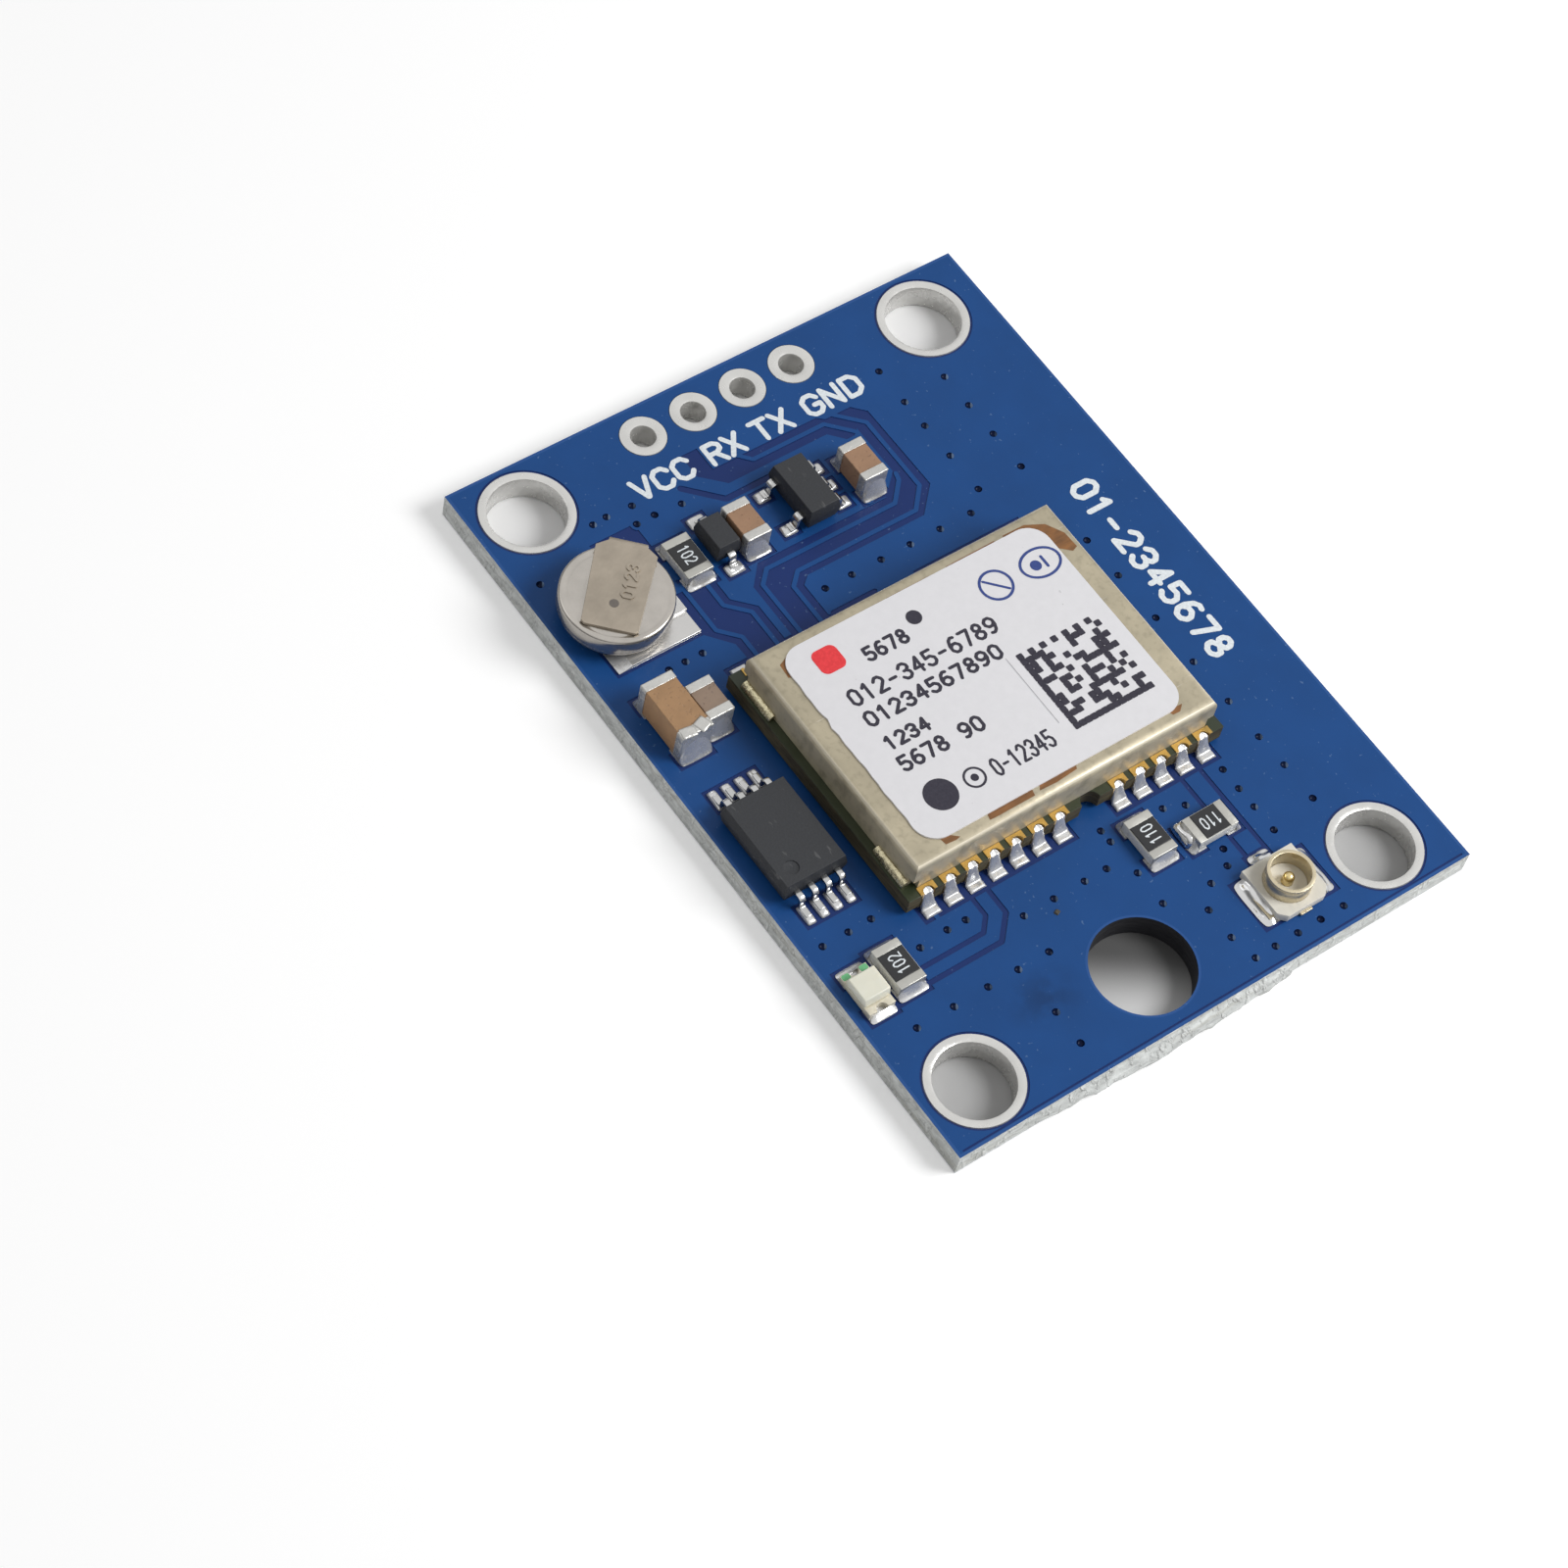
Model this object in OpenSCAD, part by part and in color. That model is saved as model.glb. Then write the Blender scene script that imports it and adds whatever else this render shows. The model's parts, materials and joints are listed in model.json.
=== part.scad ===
// Satellite receiver board: a small module with its shield can, a backup cell and the parts around it.
// Millimetres. Origin at the middle of the underside, +Z out of the component side,
// +X along the short side, +Y along the long side towards the header holes.

/* [Board] */
// Width of the board along X
board_w = 26; // [25.8:0.1:32]
// Length of the board along Y
board_l = 35.3; // [34.8:0.1:44]
// Thickness of the board
board_t = 1.2; // [0.8:0.1:2]
// Thickness of the tinned pads on the board
pad_t = 0.05; // [0.03:0.01:0.08]

/* [Mounting holes] */
// Diameter of the finished corner holes
mount_hole_d = 3.3; // [2.4:0.1:3.4]
// Diameter of the bare ring around each corner hole
mount_ring_d = 4.1; // [3.9:0.1:4.3]
// Left corner holes in from the left edge
mount_left = 2.48; // [2.3:0.02:2.6]
// Right corner holes in from the right edge
mount_right = 3.12; // [2.4:0.02:3.2]
// Corner holes in from the top and bottom edges
mount_end = 2.35; // [2.2:0.05:2.5]
// Thickness of the plating in the holes
plating_t = 0.05; // [0.03:0.01:0.1]
// Wall of the filled barrel in a header hole
header_barrel_t = 0.16; // [0.155:0.005:0.2]
// Diameter of the bare hole near the front edge
middle_hole_d = 4.4; // [3:0.1:4.6]
// Middle hole from the left edge
middle_hole_x = 11.25; // [10:0.05:12]
// Middle hole from the front edge
middle_hole_y = 2.9; // [2.6:0.05:3.2]

/* [Header holes] */
// Number of header holes
header_n = 4; // [2:1:4]
// Spacing of the header holes
header_pitch = 2.54; // [2.2:0.01:2.54]
// Diameter of the finished header holes
header_hole_d = 1.05; // [0.8:0.05:1.2]
// Diameter of the ring around each header hole
header_ring_d = 2.05; // [1.6:0.05:2.1]
// First header hole from the left edge
header_x = 8.83; // [8:0.01:9]
// Header row from the top edge
header_y = 1.52; // [1.2:0.02:1.8]

/* [Receiver module] */
// Length of the module's own board along X
receiver_w = 16; // [15.6:0.1:16.6]
// Width of the module's own board along Y
receiver_l = 12.2; // [12:0.1:12.4]
// Thickness of the module's own board
receiver_t = 0.8; // [0.6:0.05:1]
// Module from the left edge
receiver_x = 4.53; // [4.4:0.01:4.8]
// Module's middle from the top edge, as a share of the board's length
receiver_share = 0.5552; // [0.548:0.0002:0.558]
// Solder under the module
receiver_lift = 0.06; // [0.03:0.01:0.12]
// End castellations in from the module's ends
castellation_first = 1; // [0.8:0.05:1.1]
// Castellations left of the gap
castellation_left_n = 7; // [5:1:7]
// Castellations right of the gap
castellation_right_n = 5; // [3:1:5]
// Spacing across the gap between the two runs
castellation_gap = 3; // [2.6:0.05:3.2]
// Radius of the half-round notches
castellation_r = 0.3; // [0.24:0.01:0.32]
// Width of the gold pad around a notch
castellation_w = 0.8; // [0.7:0.02:0.9]
// Length of the gold pad on the top side
castellation_top_l = 0.38; // [0.35:0.01:0.4]
// Length of the gold pad on the underside
castellation_under_l = 0.9; // [0.6:0.05:1.2]
// Thickness of the gold pads and barrels
castellation_t = 0.04; // [0.02:0.01:0.06]
// Radius of the bare notch in the front edge
break_notch_r = 0.45; // [0.3:0.05:0.6]
// Width of a solder pad under a castellation
joint_w = 0.74; // [0.6:0.02:0.8]
// Reach of a solder pad beyond the module
joint_reach = 0.58; // [0.5:0.02:0.6]
// Width of the solder ramp in a notch
joint_ramp_w = 0.42; // [0.3:0.02:0.44]
// Share of the module board's height that the solder climbs
joint_climb = 0.86; // [0.5:0.02:0.95]

/* [Shield can] */
// Can in from the module's short ends
can_inset_x = 0.4; // [0.38:0.02:0.6]
// Can in from the module's long sides
can_inset_y = 0.4; // [0.4:0.02:0.6]
// Height of the can
can_h = 1.6; // [1.4:0.05:2.2]
// Thickness of the can's sheet
can_t = 0.2; // [0.1:0.02:0.24]
// Outside radius of the can's folded edges
can_bend_r = 0.38; // [0.26:0.02:0.5]
// Width of the slit at each corner of the can
can_slit_w = 0.3; // [0.22:0.02:0.4]
// Height of the slit at each corner of the can
can_slit_h = 0.55; // [0.3:0.05:1]
// Length of the solder beads on the can's short ends
can_bead_l = 1.95; // [1:0.05:3]
// Radius of the solder beads
can_bead_r = 0.3; // [0.2:0.02:0.36]
// Spacing of the two solder beads on an end
can_bead_pitch = 8.9; // [5:0.1:9]

/* [Label] */
// Width of the label along X
label_w = 13.2; // [8:0.1:14]
// Length of the label along Y
label_l = 10.2; // [6:0.1:10.4]
// Corner radius of the label
label_r = 1; // [0.2:0.05:2]
// Thickness of the label
label_t = 0.08; // [0.05:0.01:0.15]
// Label left of the can's middle
label_shift = 0.13; // [0:0.01:0.2]

/* [Inside the can] */
// Side of the receiver chip
chip_side = 7; // [5:0.1:7.4]
// Thickness of the receiver chip
chip_t = 0.85; // [0.6:0.05:1]
// Depth of the chip's first-pin dimple
chip_dimple_t = 0.1; // [0.05:0.01:0.2]
// Radius of the chip's first-pin dimple
chip_dimple_r = 0.3; // [0.2:0.05:0.5]
// Share of the free width in the can that lies left of the chip
chip_share = 0.74; // [0.4:0.02:0.9]
// Length of the band filter
filter_w = 1.4; // [1:0.1:1.6]
// Width of the band filter
filter_l = 1.1; // [0.9:0.1:1.3]
// Thickness of the band filter
filter_t = 0.5; // [0.3:0.05:0.8]
// Length of the reference crystal
crystal_w = 2.5; // [2:0.1:2.8]
// Width of the reference crystal
crystal_l = 2; // [1.6:0.1:2.4]
// Thickness of the reference crystal
crystal_t = 0.55; // [0.4:0.05:0.9]
// Length of the clock crystal
clock_l = 3.2; // [2:0.1:3.4]
// Width of the clock crystal
clock_w = 1.5; // [1:0.1:1.7]
// Thickness of the clock crystal
clock_t = 0.8; // [0.5:0.05:1]
// Thickness of the metal lid on a crystal
lid_t = 0.12; // [0.08:0.01:0.2]
// Lid in from the sides of a crystal
lid_inset = 0.15; // [0.1:0.01:0.3]
// Length of the choke
choke_l = 2; // [1.6:0.1:2.4]
// Width of the choke
choke_w = 1.25; // [0.8:0.05:1.5]
// Thickness of the choke
choke_t = 0.9; // [0.5:0.05:1]

/* [Backup cell] */
// Diameter of the cell
cell_d = 4.8; // [4.4:0.05:4.9]
// Height of the cell's can
cell_h = 1.05; // [0.9:0.05:1.4]
// Radius of the cell's upper edge
cell_edge_r = 0.16; // [0.08:0.02:0.3]
// Radius of the cell's crimped lower edge
cell_crimp_r = 0.3; // [0.2:0.02:0.4]
// Diameter of the cap on the cell's underside
cell_cap_d = 3.6; // [3:0.05:3.8]
// How far the cap stands below the crimp
cell_cap_h = 0.15; // [0.1:0.01:0.25]
// Cell from the left edge
cell_x = 2.65; // [2.6:0.01:2.9]
// Cell from the top edge
cell_y = 8.3; // [8.1:0.05:8.4]
// Thickness of the cell's tabs
tab_t = 0.14; // [0.1:0.01:0.18]
// Inner radius where a tab bends
tab_bend_r = 0.12; // [0.08:0.01:0.16]
// Length of the top tab over the cell
top_tab_l = 4.5; // [4.1:0.05:4.8]
// Width of the top tab's free end
top_tab_w = 2.35; // [1.6:0.05:2.4]
// Width of the top tab at its bend
top_tab_outer_w = 2.55; // [2.2:0.05:2.6]
// Cut corner of the top tab at its bend
top_tab_cut = 0.35; // [0.1:0.05:0.5]
// Cut corners at the free end of the top tab
top_tab_corner = 0.14; // [0.1:0.02:0.5]
// Width of the top tab's leg
top_tab_leg_w = 1.6; // [1:0.05:1.7]
// Length of the top tab's foot on the board
top_tab_foot = 0.6; // [0.4:0.05:0.7]
// Direction of the top tab, from +X towards +Y
top_tab_angle = 45; // [42:1:46]
// Width of the bottom tab
bottom_tab_w = 3.4; // [2.4:0.1:3.6]
// Length of the bottom tab's foot on the board
bottom_tab_foot = 1.05; // [0.8:0.05:1.1]
// Length of the bottom tab under the cell
bottom_tab_l = 2.2; // [1.6:0.1:2.3]
// Bottom tab's step in front of the cell's middle
bottom_tab_back = 1.45; // [1.4:0.02:1.6]
// How far the bottom tab steps up to the cell
bottom_tab_step = 0.2; // [0.15:0.01:0.25]
// Bottom tab's foot right of the cell's middle
bottom_tab_shift = 0.9; // [0.8:0.02:0.96]
// Pad of the top tab, beyond its foot
top_pad_extra = 0.3; // [0.2:0.02:0.4]
// Pad of the bottom tab, beyond its foot on the left
bottom_pad_extra = 0.62; // [0.3:0.02:0.7]

/* [Memory chip] */
// Length of the memory body along X
memory_w = 3; // [2.8:0.05:3.2]
// Width of the memory body along Y
memory_l = 4.4; // [4.2:0.05:4.5]
// Thickness of the memory body
memory_h = 1; // [0.8:0.05:1.2]
// Spacing of the memory leads
memory_pitch = 0.65; // [0.6:0.01:0.7]
// Width of a memory lead
memory_lead_w = 0.27; // [0.2:0.01:0.3]
// Reach of a memory lead beyond the body
memory_reach = 1; // [0.9:0.02:1.1]
// Leads on each side of the memory chip
memory_n = 4; // [2:1:4]
// Memory chip from the left edge
memory_x = 2.17; // [2.1:0.01:2.3]
// Memory chip from the top edge
memory_y = 20.65; // [20.6:0.05:20.8]

/* [Regulator] */
// Width of the regulator body along X
regulator_w = 1.6; // [1.5:0.05:1.7]
// Length of the regulator body along Y
regulator_l = 2.9; // [2.7:0.05:3.1]
// Thickness of the regulator body
regulator_h = 1.1; // [0.9:0.05:1.3]
// Spacing of the regulator leads
regulator_pitch = 0.95; // [0.9:0.01:1]
// Width of a regulator lead
regulator_lead_w = 0.4; // [0.3:0.02:0.5]
// Reach of a regulator lead beyond the body
regulator_reach = 0.62; // [0.58:0.02:0.68]
// Regulator from the left edge
regulator_x = 12.7; // [12.6:0.02:12.8]
// Regulator from the top edge
regulator_y = 7.5; // [7.3:0.05:7.6]

/* [Diode] */
// Width of the diode body along X
diode_w = 1.2; // [1.1:0.02:1.3]
// Length of the diode body along Y
diode_l = 1.75; // [1.6:0.05:1.9]
// Thickness of the diode body
diode_h = 0.95; // [0.8:0.05:1.1]
// Width of a diode lead
diode_lead_w = 0.34; // [0.25:0.01:0.4]
// Reach of a diode lead beyond the body
diode_reach = 0.46; // [0.42:0.02:0.6]
// Diode from the left edge
diode_x = 8.25; // [8.2:0.01:8.3]
// Diode from the top edge
diode_y = 7.57; // [7.4:0.01:7.7]

/* [Leads] */
// Thickness of the bent leads
lead_t = 0.14; // [0.1:0.01:0.18]
// Inner radius of the lead bends
lead_bend_r = 0.1; // [0.06:0.01:0.14]
// Gap under the moulded bodies
body_lift = 0.1; // [0.05:0.01:0.2]
// Draft of the moulded bodies at the top and bottom faces
body_draft = 0.09; // [0.04:0.01:0.14]
// Solder pad beyond a lead's tip
lead_pad_extra = 0.3; // [0.2:0.02:0.34]
// Solder pad wider than its lead
lead_pad_side = 0.08; // [0.04:0.01:0.1]
// Share of a lead's reach before it bends down
lead_knee = 0.36; // [0.34:0.01:0.4]
// How gently a solder ramp is hollowed, from fully round at 1
ramp_hollow = 1.06; // [1.02:0.02:3]

/* [Capacitors] */
// Length of the small capacitors
small_cap_l = 2; // [1.8:0.05:2.1]
// Width of the small capacitors
small_cap_w = 1.22; // [1.1:0.02:1.25]
// Length of the bypass capacitor
bypass_cap_l = 1.86; // [1.7:0.02:2]
// Height of the tall small capacitors
tall_cap_h = 1.25; // [0.8:0.05:1.4]
// Height of the low small capacitor
low_cap_h = 1.1; // [0.7:0.05:1.3]
// Length of the large capacitor
large_cap_l = 3; // [2.8:0.05:3.2]
// Width of the large capacitor
large_cap_w = 1.52; // [1.4:0.02:1.6]
// Height of the large capacitor
large_cap_h = 1.6; // [1:0.05:1.8]
// Length of the end caps on a capacitor
cap_end_l = 0.42; // [0.3:0.02:0.5]
// Thickness of the end caps
cap_end_t = 0.035; // [0.02:0.005:0.05]
// Radius of the capacitor edges
cap_edge_r = 0.08; // [0.06:0.01:0.12]
// Output capacitor from the left edge
output_cap_x = 15.47; // [15.4:0.02:15.6]
// Output capacitor from the top edge
output_cap_y = 7.7; // [7.5:0.05:7.9]
// Input capacitor from the left edge
input_cap_x = 9.55; // [9.54:0.01:9.6]
// Input capacitor from the top edge
input_cap_y = 7.69; // [7.5:0.05:7.9]
// Reservoir capacitor from the left edge
reservoir_cap_x = 1.66; // [1.62:0.01:1.7]
// Reservoir capacitor from the top edge
reservoir_cap_y = 13.9; // [13.8:0.02:14]
// Bypass capacitor from the left edge
bypass_cap_x = 3.15; // [3.13:0.01:3.2]
// Bypass capacitor from the top edge
bypass_cap_y = 14.1; // [14:0.02:14.2]

/* [Resistors] */
// Length of the resistors
resistor_l = 2; // [1.8:0.05:2.1]
// Width of the resistors
resistor_w = 1.25; // [1.1:0.02:1.28]
// Thickness of a resistor's ceramic base
resistor_t = 0.5; // [0.35:0.05:0.6]
// Thickness of a resistor's overcoat
overcoat_t = 0.06; // [0.04:0.01:0.1]
// Length of a resistor's end caps
resistor_end_l = 0.38; // [0.25:0.01:0.45]
// Thickness of a resistor's end caps
resistor_end_t = 0.035; // [0.02:0.005:0.05]
// Pull-up resistor from the left edge
pullup_x = 6.65; // [6.6:0.01:6.8]
// Pull-up resistor from the top edge
pullup_y = 7.7; // [7.5:0.05:7.9]
// Lamp resistor from the left edge
lamp_res_x = 2.74; // [2.7:0.02:2.9]
// Lamp resistor beyond the module's front edge
lamp_res_y = 1.82; // [1.7:0.02:2]
// Feed resistor from the left edge
feed_res_x = 14.93; // [14.8:0.02:15]
// Feed resistor beyond the module's front edge
feed_res_y = 2.33; // [2.3:0.01:2.5]
// Series resistor from the left edge
series_res_x = 17.4; // [17.36:0.02:17.6]
// Series resistor's place between the module and the socket, as a share
series_res_share = 0.56; // [0.5:0.01:0.6]
// Pads of the chip parts beyond their ends
chip_pad_extra = 0.28; // [0.2:0.02:0.34]
// Pads of the resistors wider than their ends, on each side
chip_pad_side = 0.08; // [0:0.01:0.1]
// Height of the solder on the ends of the chip parts, as a share of their height
chip_fillet = 0.6; // [0.3:0.05:0.8]

/* [Lamp] */
// Length of the lamp
lamp_l = 2; // [1.8:0.05:2.1]
// Width of the lamp
lamp_w = 1.25; // [1.1:0.02:1.28]
// Thickness of the lamp's base
lamp_base_t = 0.3; // [0.2:0.02:0.4]
// Height of the lamp's lens
lamp_lens_h = 0.45; // [0.3:0.05:0.6]
// Length of the lens at its foot
lamp_lens_l = 1.3; // [1.1:0.05:1.36]
// Slope of the lens ends
lamp_lens_draft = 0.08; // [0.02:0.01:0.14]
// Radius of the half-round notches in the lamp's ends
lamp_notch_r = 0.26; // [0.2:0.01:0.28]
// Length of the plated ends
lamp_end_l = 0.34; // [0.32:0.01:0.4]
// Lamp from the left edge
lamp_x = 1.16; // [1:0.02:1.3]
// Lamp beyond the module's front edge
lamp_y = 2; // [1.9:0.02:2.1]

/* [Antenna socket] */
// Width of the socket's base along X
socket_w = 2.6; // [2.4:0.05:2.8]
// Length of the socket's base along Y
socket_l = 2.6; // [2.4:0.05:2.7]
// Thickness of the socket's base
socket_t = 0.42; // [0.36:0.02:0.5]
// Cut corners of the base
socket_cut = 0.35; // [0.1:0.05:0.5]
// Outside diameter of the shell
socket_d = 2; // [1.8:0.05:2.1]
// Wall of the shell
socket_wall = 0.16; // [0.155:0.005:0.2]
// Overall height of the shell above the board
socket_h = 1.25; // [1:0.05:1.6]
// Width of the groove near the top of the shell
socket_groove_l = 0.22; // [0.12:0.02:0.3]
// Depth of the groove in the shell
socket_groove_t = 0.06; // [0.03:0.01:0.08]
// Lip above the groove
socket_lip = 0.12; // [0.08:0.01:0.2]
// Diameter of the centre contact
socket_pin_d = 0.5; // [0.4:0.02:0.7]
// Height of the centre contact above the board
socket_pin_h = 1; // [0.8:0.05:1.1]
// Thickness of the strips under the socket
socket_strip_t = 0.12; // [0.08:0.01:0.14]
// Width of the ground strips
socket_ground_w = 1.8; // [1.2:0.05:1.9]
// Width of the signal strip
socket_signal_w = 0.6; // [0.4:0.02:0.8]
// Length of the ground pads
socket_ground_pad_l = 2.25; // [2:0.05:2.4]
// Width of the signal pad
socket_signal_pad_w = 1.05; // [0.8:0.05:1.2]
// Reach of the strips beyond the base
socket_reach = 0.24; // [0.15:0.01:0.3]
// Pads of the socket beyond the strips
socket_pad_extra = 0.28; // [0.2:0.02:0.3]
// Socket from the left edge
socket_x = 18.4; // [18.2:0.05:18.5]
// Socket from the front edge
socket_y = 2.77; // [2.6:0.02:2.9]

/* [Hidden] */

$fn = 48;
over = 1;

left = -board_w / 2;
right = board_w / 2;
top = board_l / 2;
front = -board_l / 2;
pad_z = board_t + pad_t;

mount_xs = [left + mount_left, right - mount_right];
mount_ys = [top - mount_end, front + mount_end];
mount_points = [for (x = mount_xs, y = mount_ys) [x, y]];
header_points = [for (i = [0 : header_n - 1]) [left + header_x + i * header_pitch, top - header_y]];
middle_hole_at = [left + middle_hole_x, front + middle_hole_y];

receiver_mid = [left + receiver_x + receiver_w / 2, top - board_l * receiver_share];
receiver_front = receiver_mid[1] - receiver_l / 2;
receiver_z = pad_z + receiver_lift + castellation_t;
receiver_top = receiver_z + receiver_t;
castellation_steps = castellation_left_n + castellation_right_n - 2;
castellation_run = receiver_w - 2 * castellation_first - castellation_gap;
castellation_pitch = castellation_run / castellation_steps;
castellation_xs = concat(
    [for (i = [0 : castellation_left_n - 1]) castellation_first + i * castellation_pitch],
    [for (i = [0 : castellation_right_n - 1])
        castellation_first + (castellation_left_n - 1 + i) * castellation_pitch + castellation_gap]
);
notch_x = castellation_first + (castellation_left_n - 1) * castellation_pitch + castellation_gap / 2;
barrel_r = castellation_r - castellation_t;
joint_h = receiver_lift + pad_t;
can_w = receiver_w - 2 * can_inset_x;
can_l = receiver_l - 2 * can_inset_y;
can_top = receiver_top + can_h;
crystal_mid = can_t + crystal_w - can_w / 2;
clock_mid = can_w / 2 - can_t - clock_w;
chip_room = clock_mid - clock_w / 2 - crystal_mid - crystal_w / 2 - chip_side;
chip_left = crystal_mid + crystal_w / 2 + chip_room * chip_share;
joint_rise = receiver_z - board_t + receiver_t * joint_climb;

socket_at = [left + socket_x, front + socket_y];
socket_back = socket_at[1] + socket_l / 2;
pullup_at = [left + pullup_x, top - pullup_y];
lamp_res_at = [left + lamp_res_x, receiver_front - lamp_res_y];
feed_res_at = [left + feed_res_x, receiver_front - feed_res_y];
series_res_at = [left + series_res_x, receiver_front + (socket_back - receiver_front) * series_res_share];

cell_at = [left + cell_x, top - cell_y];
bottom_tab_z = pad_z + bottom_tab_step;
cell_z = bottom_tab_z + tab_t;
cell_top = cell_z + cell_cap_h + cell_h;
cell_crimp_d = cell_d - 2 * cell_crimp_r;
bottom_tab_x = cell_at[0] + bottom_tab_shift;
bottom_riser_y = cell_at[1] - bottom_tab_back;
bottom_foot_y = bottom_riser_y - bottom_tab_foot;
leg_x = cell_d / 2 + tab_bend_r;
top_tab_start = leg_x + tab_t - top_tab_l;

seat_z = pad_z;

// Outlines

module rounded_rect(w, l, r) {
    square([w - 2 * r, l], center = true);
    square([w, l - 2 * r], center = true);
    for (sx = [-1, 1], sy = [-1, 1])
        translate([sx * (w / 2 - r), sy * (l / 2 - r)])
            circle(r);
}

module arch(w, h, r) {
    translate([-w / 2, 0])
        square([w, h - r]);
    translate([r - w / 2, 0])
        square([w - 2 * r, h]);
    for (s = [-1, 1])
        translate([s * (w / 2 - r), h - r])
            circle(r);
}

module drafted(w, h, d) {
    low = (h - lead_t) / 2;
    high = (h + lead_t) / 2;
    polygon([
        [d - w / 2, 0], [w / 2 - d, 0], [w / 2, low], [w / 2, high],
        [w / 2 - d, h], [d - w / 2, h], [-w / 2, high], [-w / 2, low]
    ]);
}

module cut_rect(w, l, c) {
    polygon([
        [c - w / 2, -l / 2], [w / 2 - c, -l / 2], [w / 2, c - l / 2], [w / 2, l / 2],
        [-w / 2, l / 2], [-w / 2, c - l / 2]
    ]);
}

// Shared solids

module along_x(w) {
    translate([-w / 2, 0, 0])
        rotate([90, 0, 90])
            linear_extrude(w)
                children();
}

module along_y(l) {
    translate([0, l / 2, 0])
        rotate([90, 0, 0])
            linear_extrude(l)
                children();
}

module soft_block(w, l, h, r) {
    intersection() {
        linear_extrude(h)
            rounded_rect(w, l, r);
        along_y(l)
            translate([0, h / 2])
                rounded_rect(w, h, r);
        along_x(w)
            translate([0, h / 2])
                rounded_rect(l, h, r);
    }
}

module moulded_block(w, l, h, d) {
    intersection() {
        along_y(l)
            drafted(w, h, d);
        along_x(w)
            drafted(l, h, d);
    }
}

// A bent lead runs out of a body along +X from x = 0, at mid height, and stands on z = 0.
module bent_lead(reach, rise, w) {
    r_out = lead_bend_r + lead_t;
    knee = reach * lead_knee;
    along_y(w)
        union() {
            translate([0, rise - lead_t])
                square([knee - lead_bend_r, lead_t]);
            translate([knee - lead_bend_r, rise - r_out])
                bend_corner(r_out, 0);
            translate([knee, r_out])
                square([lead_t, rise - 2 * r_out]);
            translate([knee + r_out, r_out])
                bend_corner(r_out, 180);
            translate([knee + r_out, 0])
                square([reach - knee - r_out, lead_t]);
        }
}

// A quarter ring: its outside radius is r, its wall is one lead thick.
module bend_corner(r, turn, t = lead_t) {
    rotate(turn)
        intersection() {
            difference() {
                circle(r);
                circle(r - t);
            }
            square([r, r]);
        }
}

// A solder ramp rises towards +X: its toe is at x = 0, its face is a hollow quarter round.
module solder_ramp(run, rise, w) {
    along_y(w)
        difference() {
            square([run, rise]);
            translate(hollow_centre(run, rise - pad_t) + [0, pad_t])
                circle(hollow_r(run, rise - pad_t));
        }
}

// The round that hollows a ramp lies above the slope from [0, 0] to [run, rise].
function hollow_off(run, rise) =
    ramp_hollow * norm([run, rise]) / 2 * max(run / rise, rise / run);

function hollow_r(run, rise) =
    norm([norm([run, rise]) / 2, hollow_off(run, rise)]);

function hollow_centre(run, rise) =
    [run, rise] / 2 + [-rise, run] * hollow_off(run, rise) / norm([run, rise]);

// Board

module board() {
    color([0.10, 0.30, 0.58])
        difference() {
            translate([left, front, 0])
                cube([board_w, board_l, board_t]);
            for (p = mount_points)
                translate([p[0], p[1], 0])
                    eyelet_seat(mount_ring_d, mount_hole_d, plating_t);
            for (p = header_points)
                translate([p[0], p[1], 0])
                    eyelet_seat(header_ring_d, header_hole_d, header_barrel_t);
            translate([middle_hole_at[0], middle_hole_at[1], -over])
                cylinder(d = middle_hole_d, h = board_t + 2 * over);
        }
}

module eyelet_seat(ring_d, hole_d, wall_t) {
    translate([0, 0, -over])
        cylinder(d = hole_d + 2 * wall_t, h = board_t + 2 * over);
    translate([0, 0, board_t - plating_t])
        cylinder(d = ring_d, h = over);
    translate([0, 0, plating_t - over])
        cylinder(d = ring_d, h = over);
}

module eyelet(ring_d, hole_d, wall_t) {
    difference() {
        union() {
            cylinder(d = hole_d + 2 * wall_t, h = board_t);
            cylinder(d = ring_d, h = plating_t);
            translate([0, 0, board_t - plating_t])
                cylinder(d = ring_d, h = plating_t);
        }
        translate([0, 0, -over])
            cylinder(d = hole_d, h = board_t + 2 * over);
    }
}

module mounting_hole_plating() {
    color([0.80, 0.80, 0.78])
        for (p = mount_points)
            translate([p[0], p[1], 0])
                eyelet(mount_ring_d, mount_hole_d, plating_t);
}

module header_hole_plating() {
    color([0.80, 0.80, 0.78])
        for (p = header_points)
            translate([p[0], p[1], 0])
                eyelet(header_ring_d, header_hole_d, header_barrel_t);
}

// Receiver module

module receiver_frame(z) {
    translate([receiver_mid[0], receiver_mid[1], z])
        children();
}

// Children are drawn with the module's edge at y = 0 and the module towards +Y.
module each_castellation() {
    for (s = [0, 1], x = castellation_xs)
        mirror([0, s, 0])
            translate([x - receiver_w / 2, -receiver_l / 2, 0])
                children();
}

module receiver_board() {
    color([0.16, 0.22, 0.10])
        receiver_frame(receiver_z)
            linear_extrude(receiver_t)
                difference() {
                    square([receiver_w, receiver_l], center = true);
                    each_castellation()
                        circle(castellation_r);
                    translate([notch_x - receiver_w / 2, -receiver_l / 2])
                        circle(break_notch_r);
                }
}

module castellation_pad(l) {
    difference() {
        translate([-castellation_w / 2, 0])
            square([castellation_w, l]);
        circle(barrel_r);
    }
}

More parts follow.
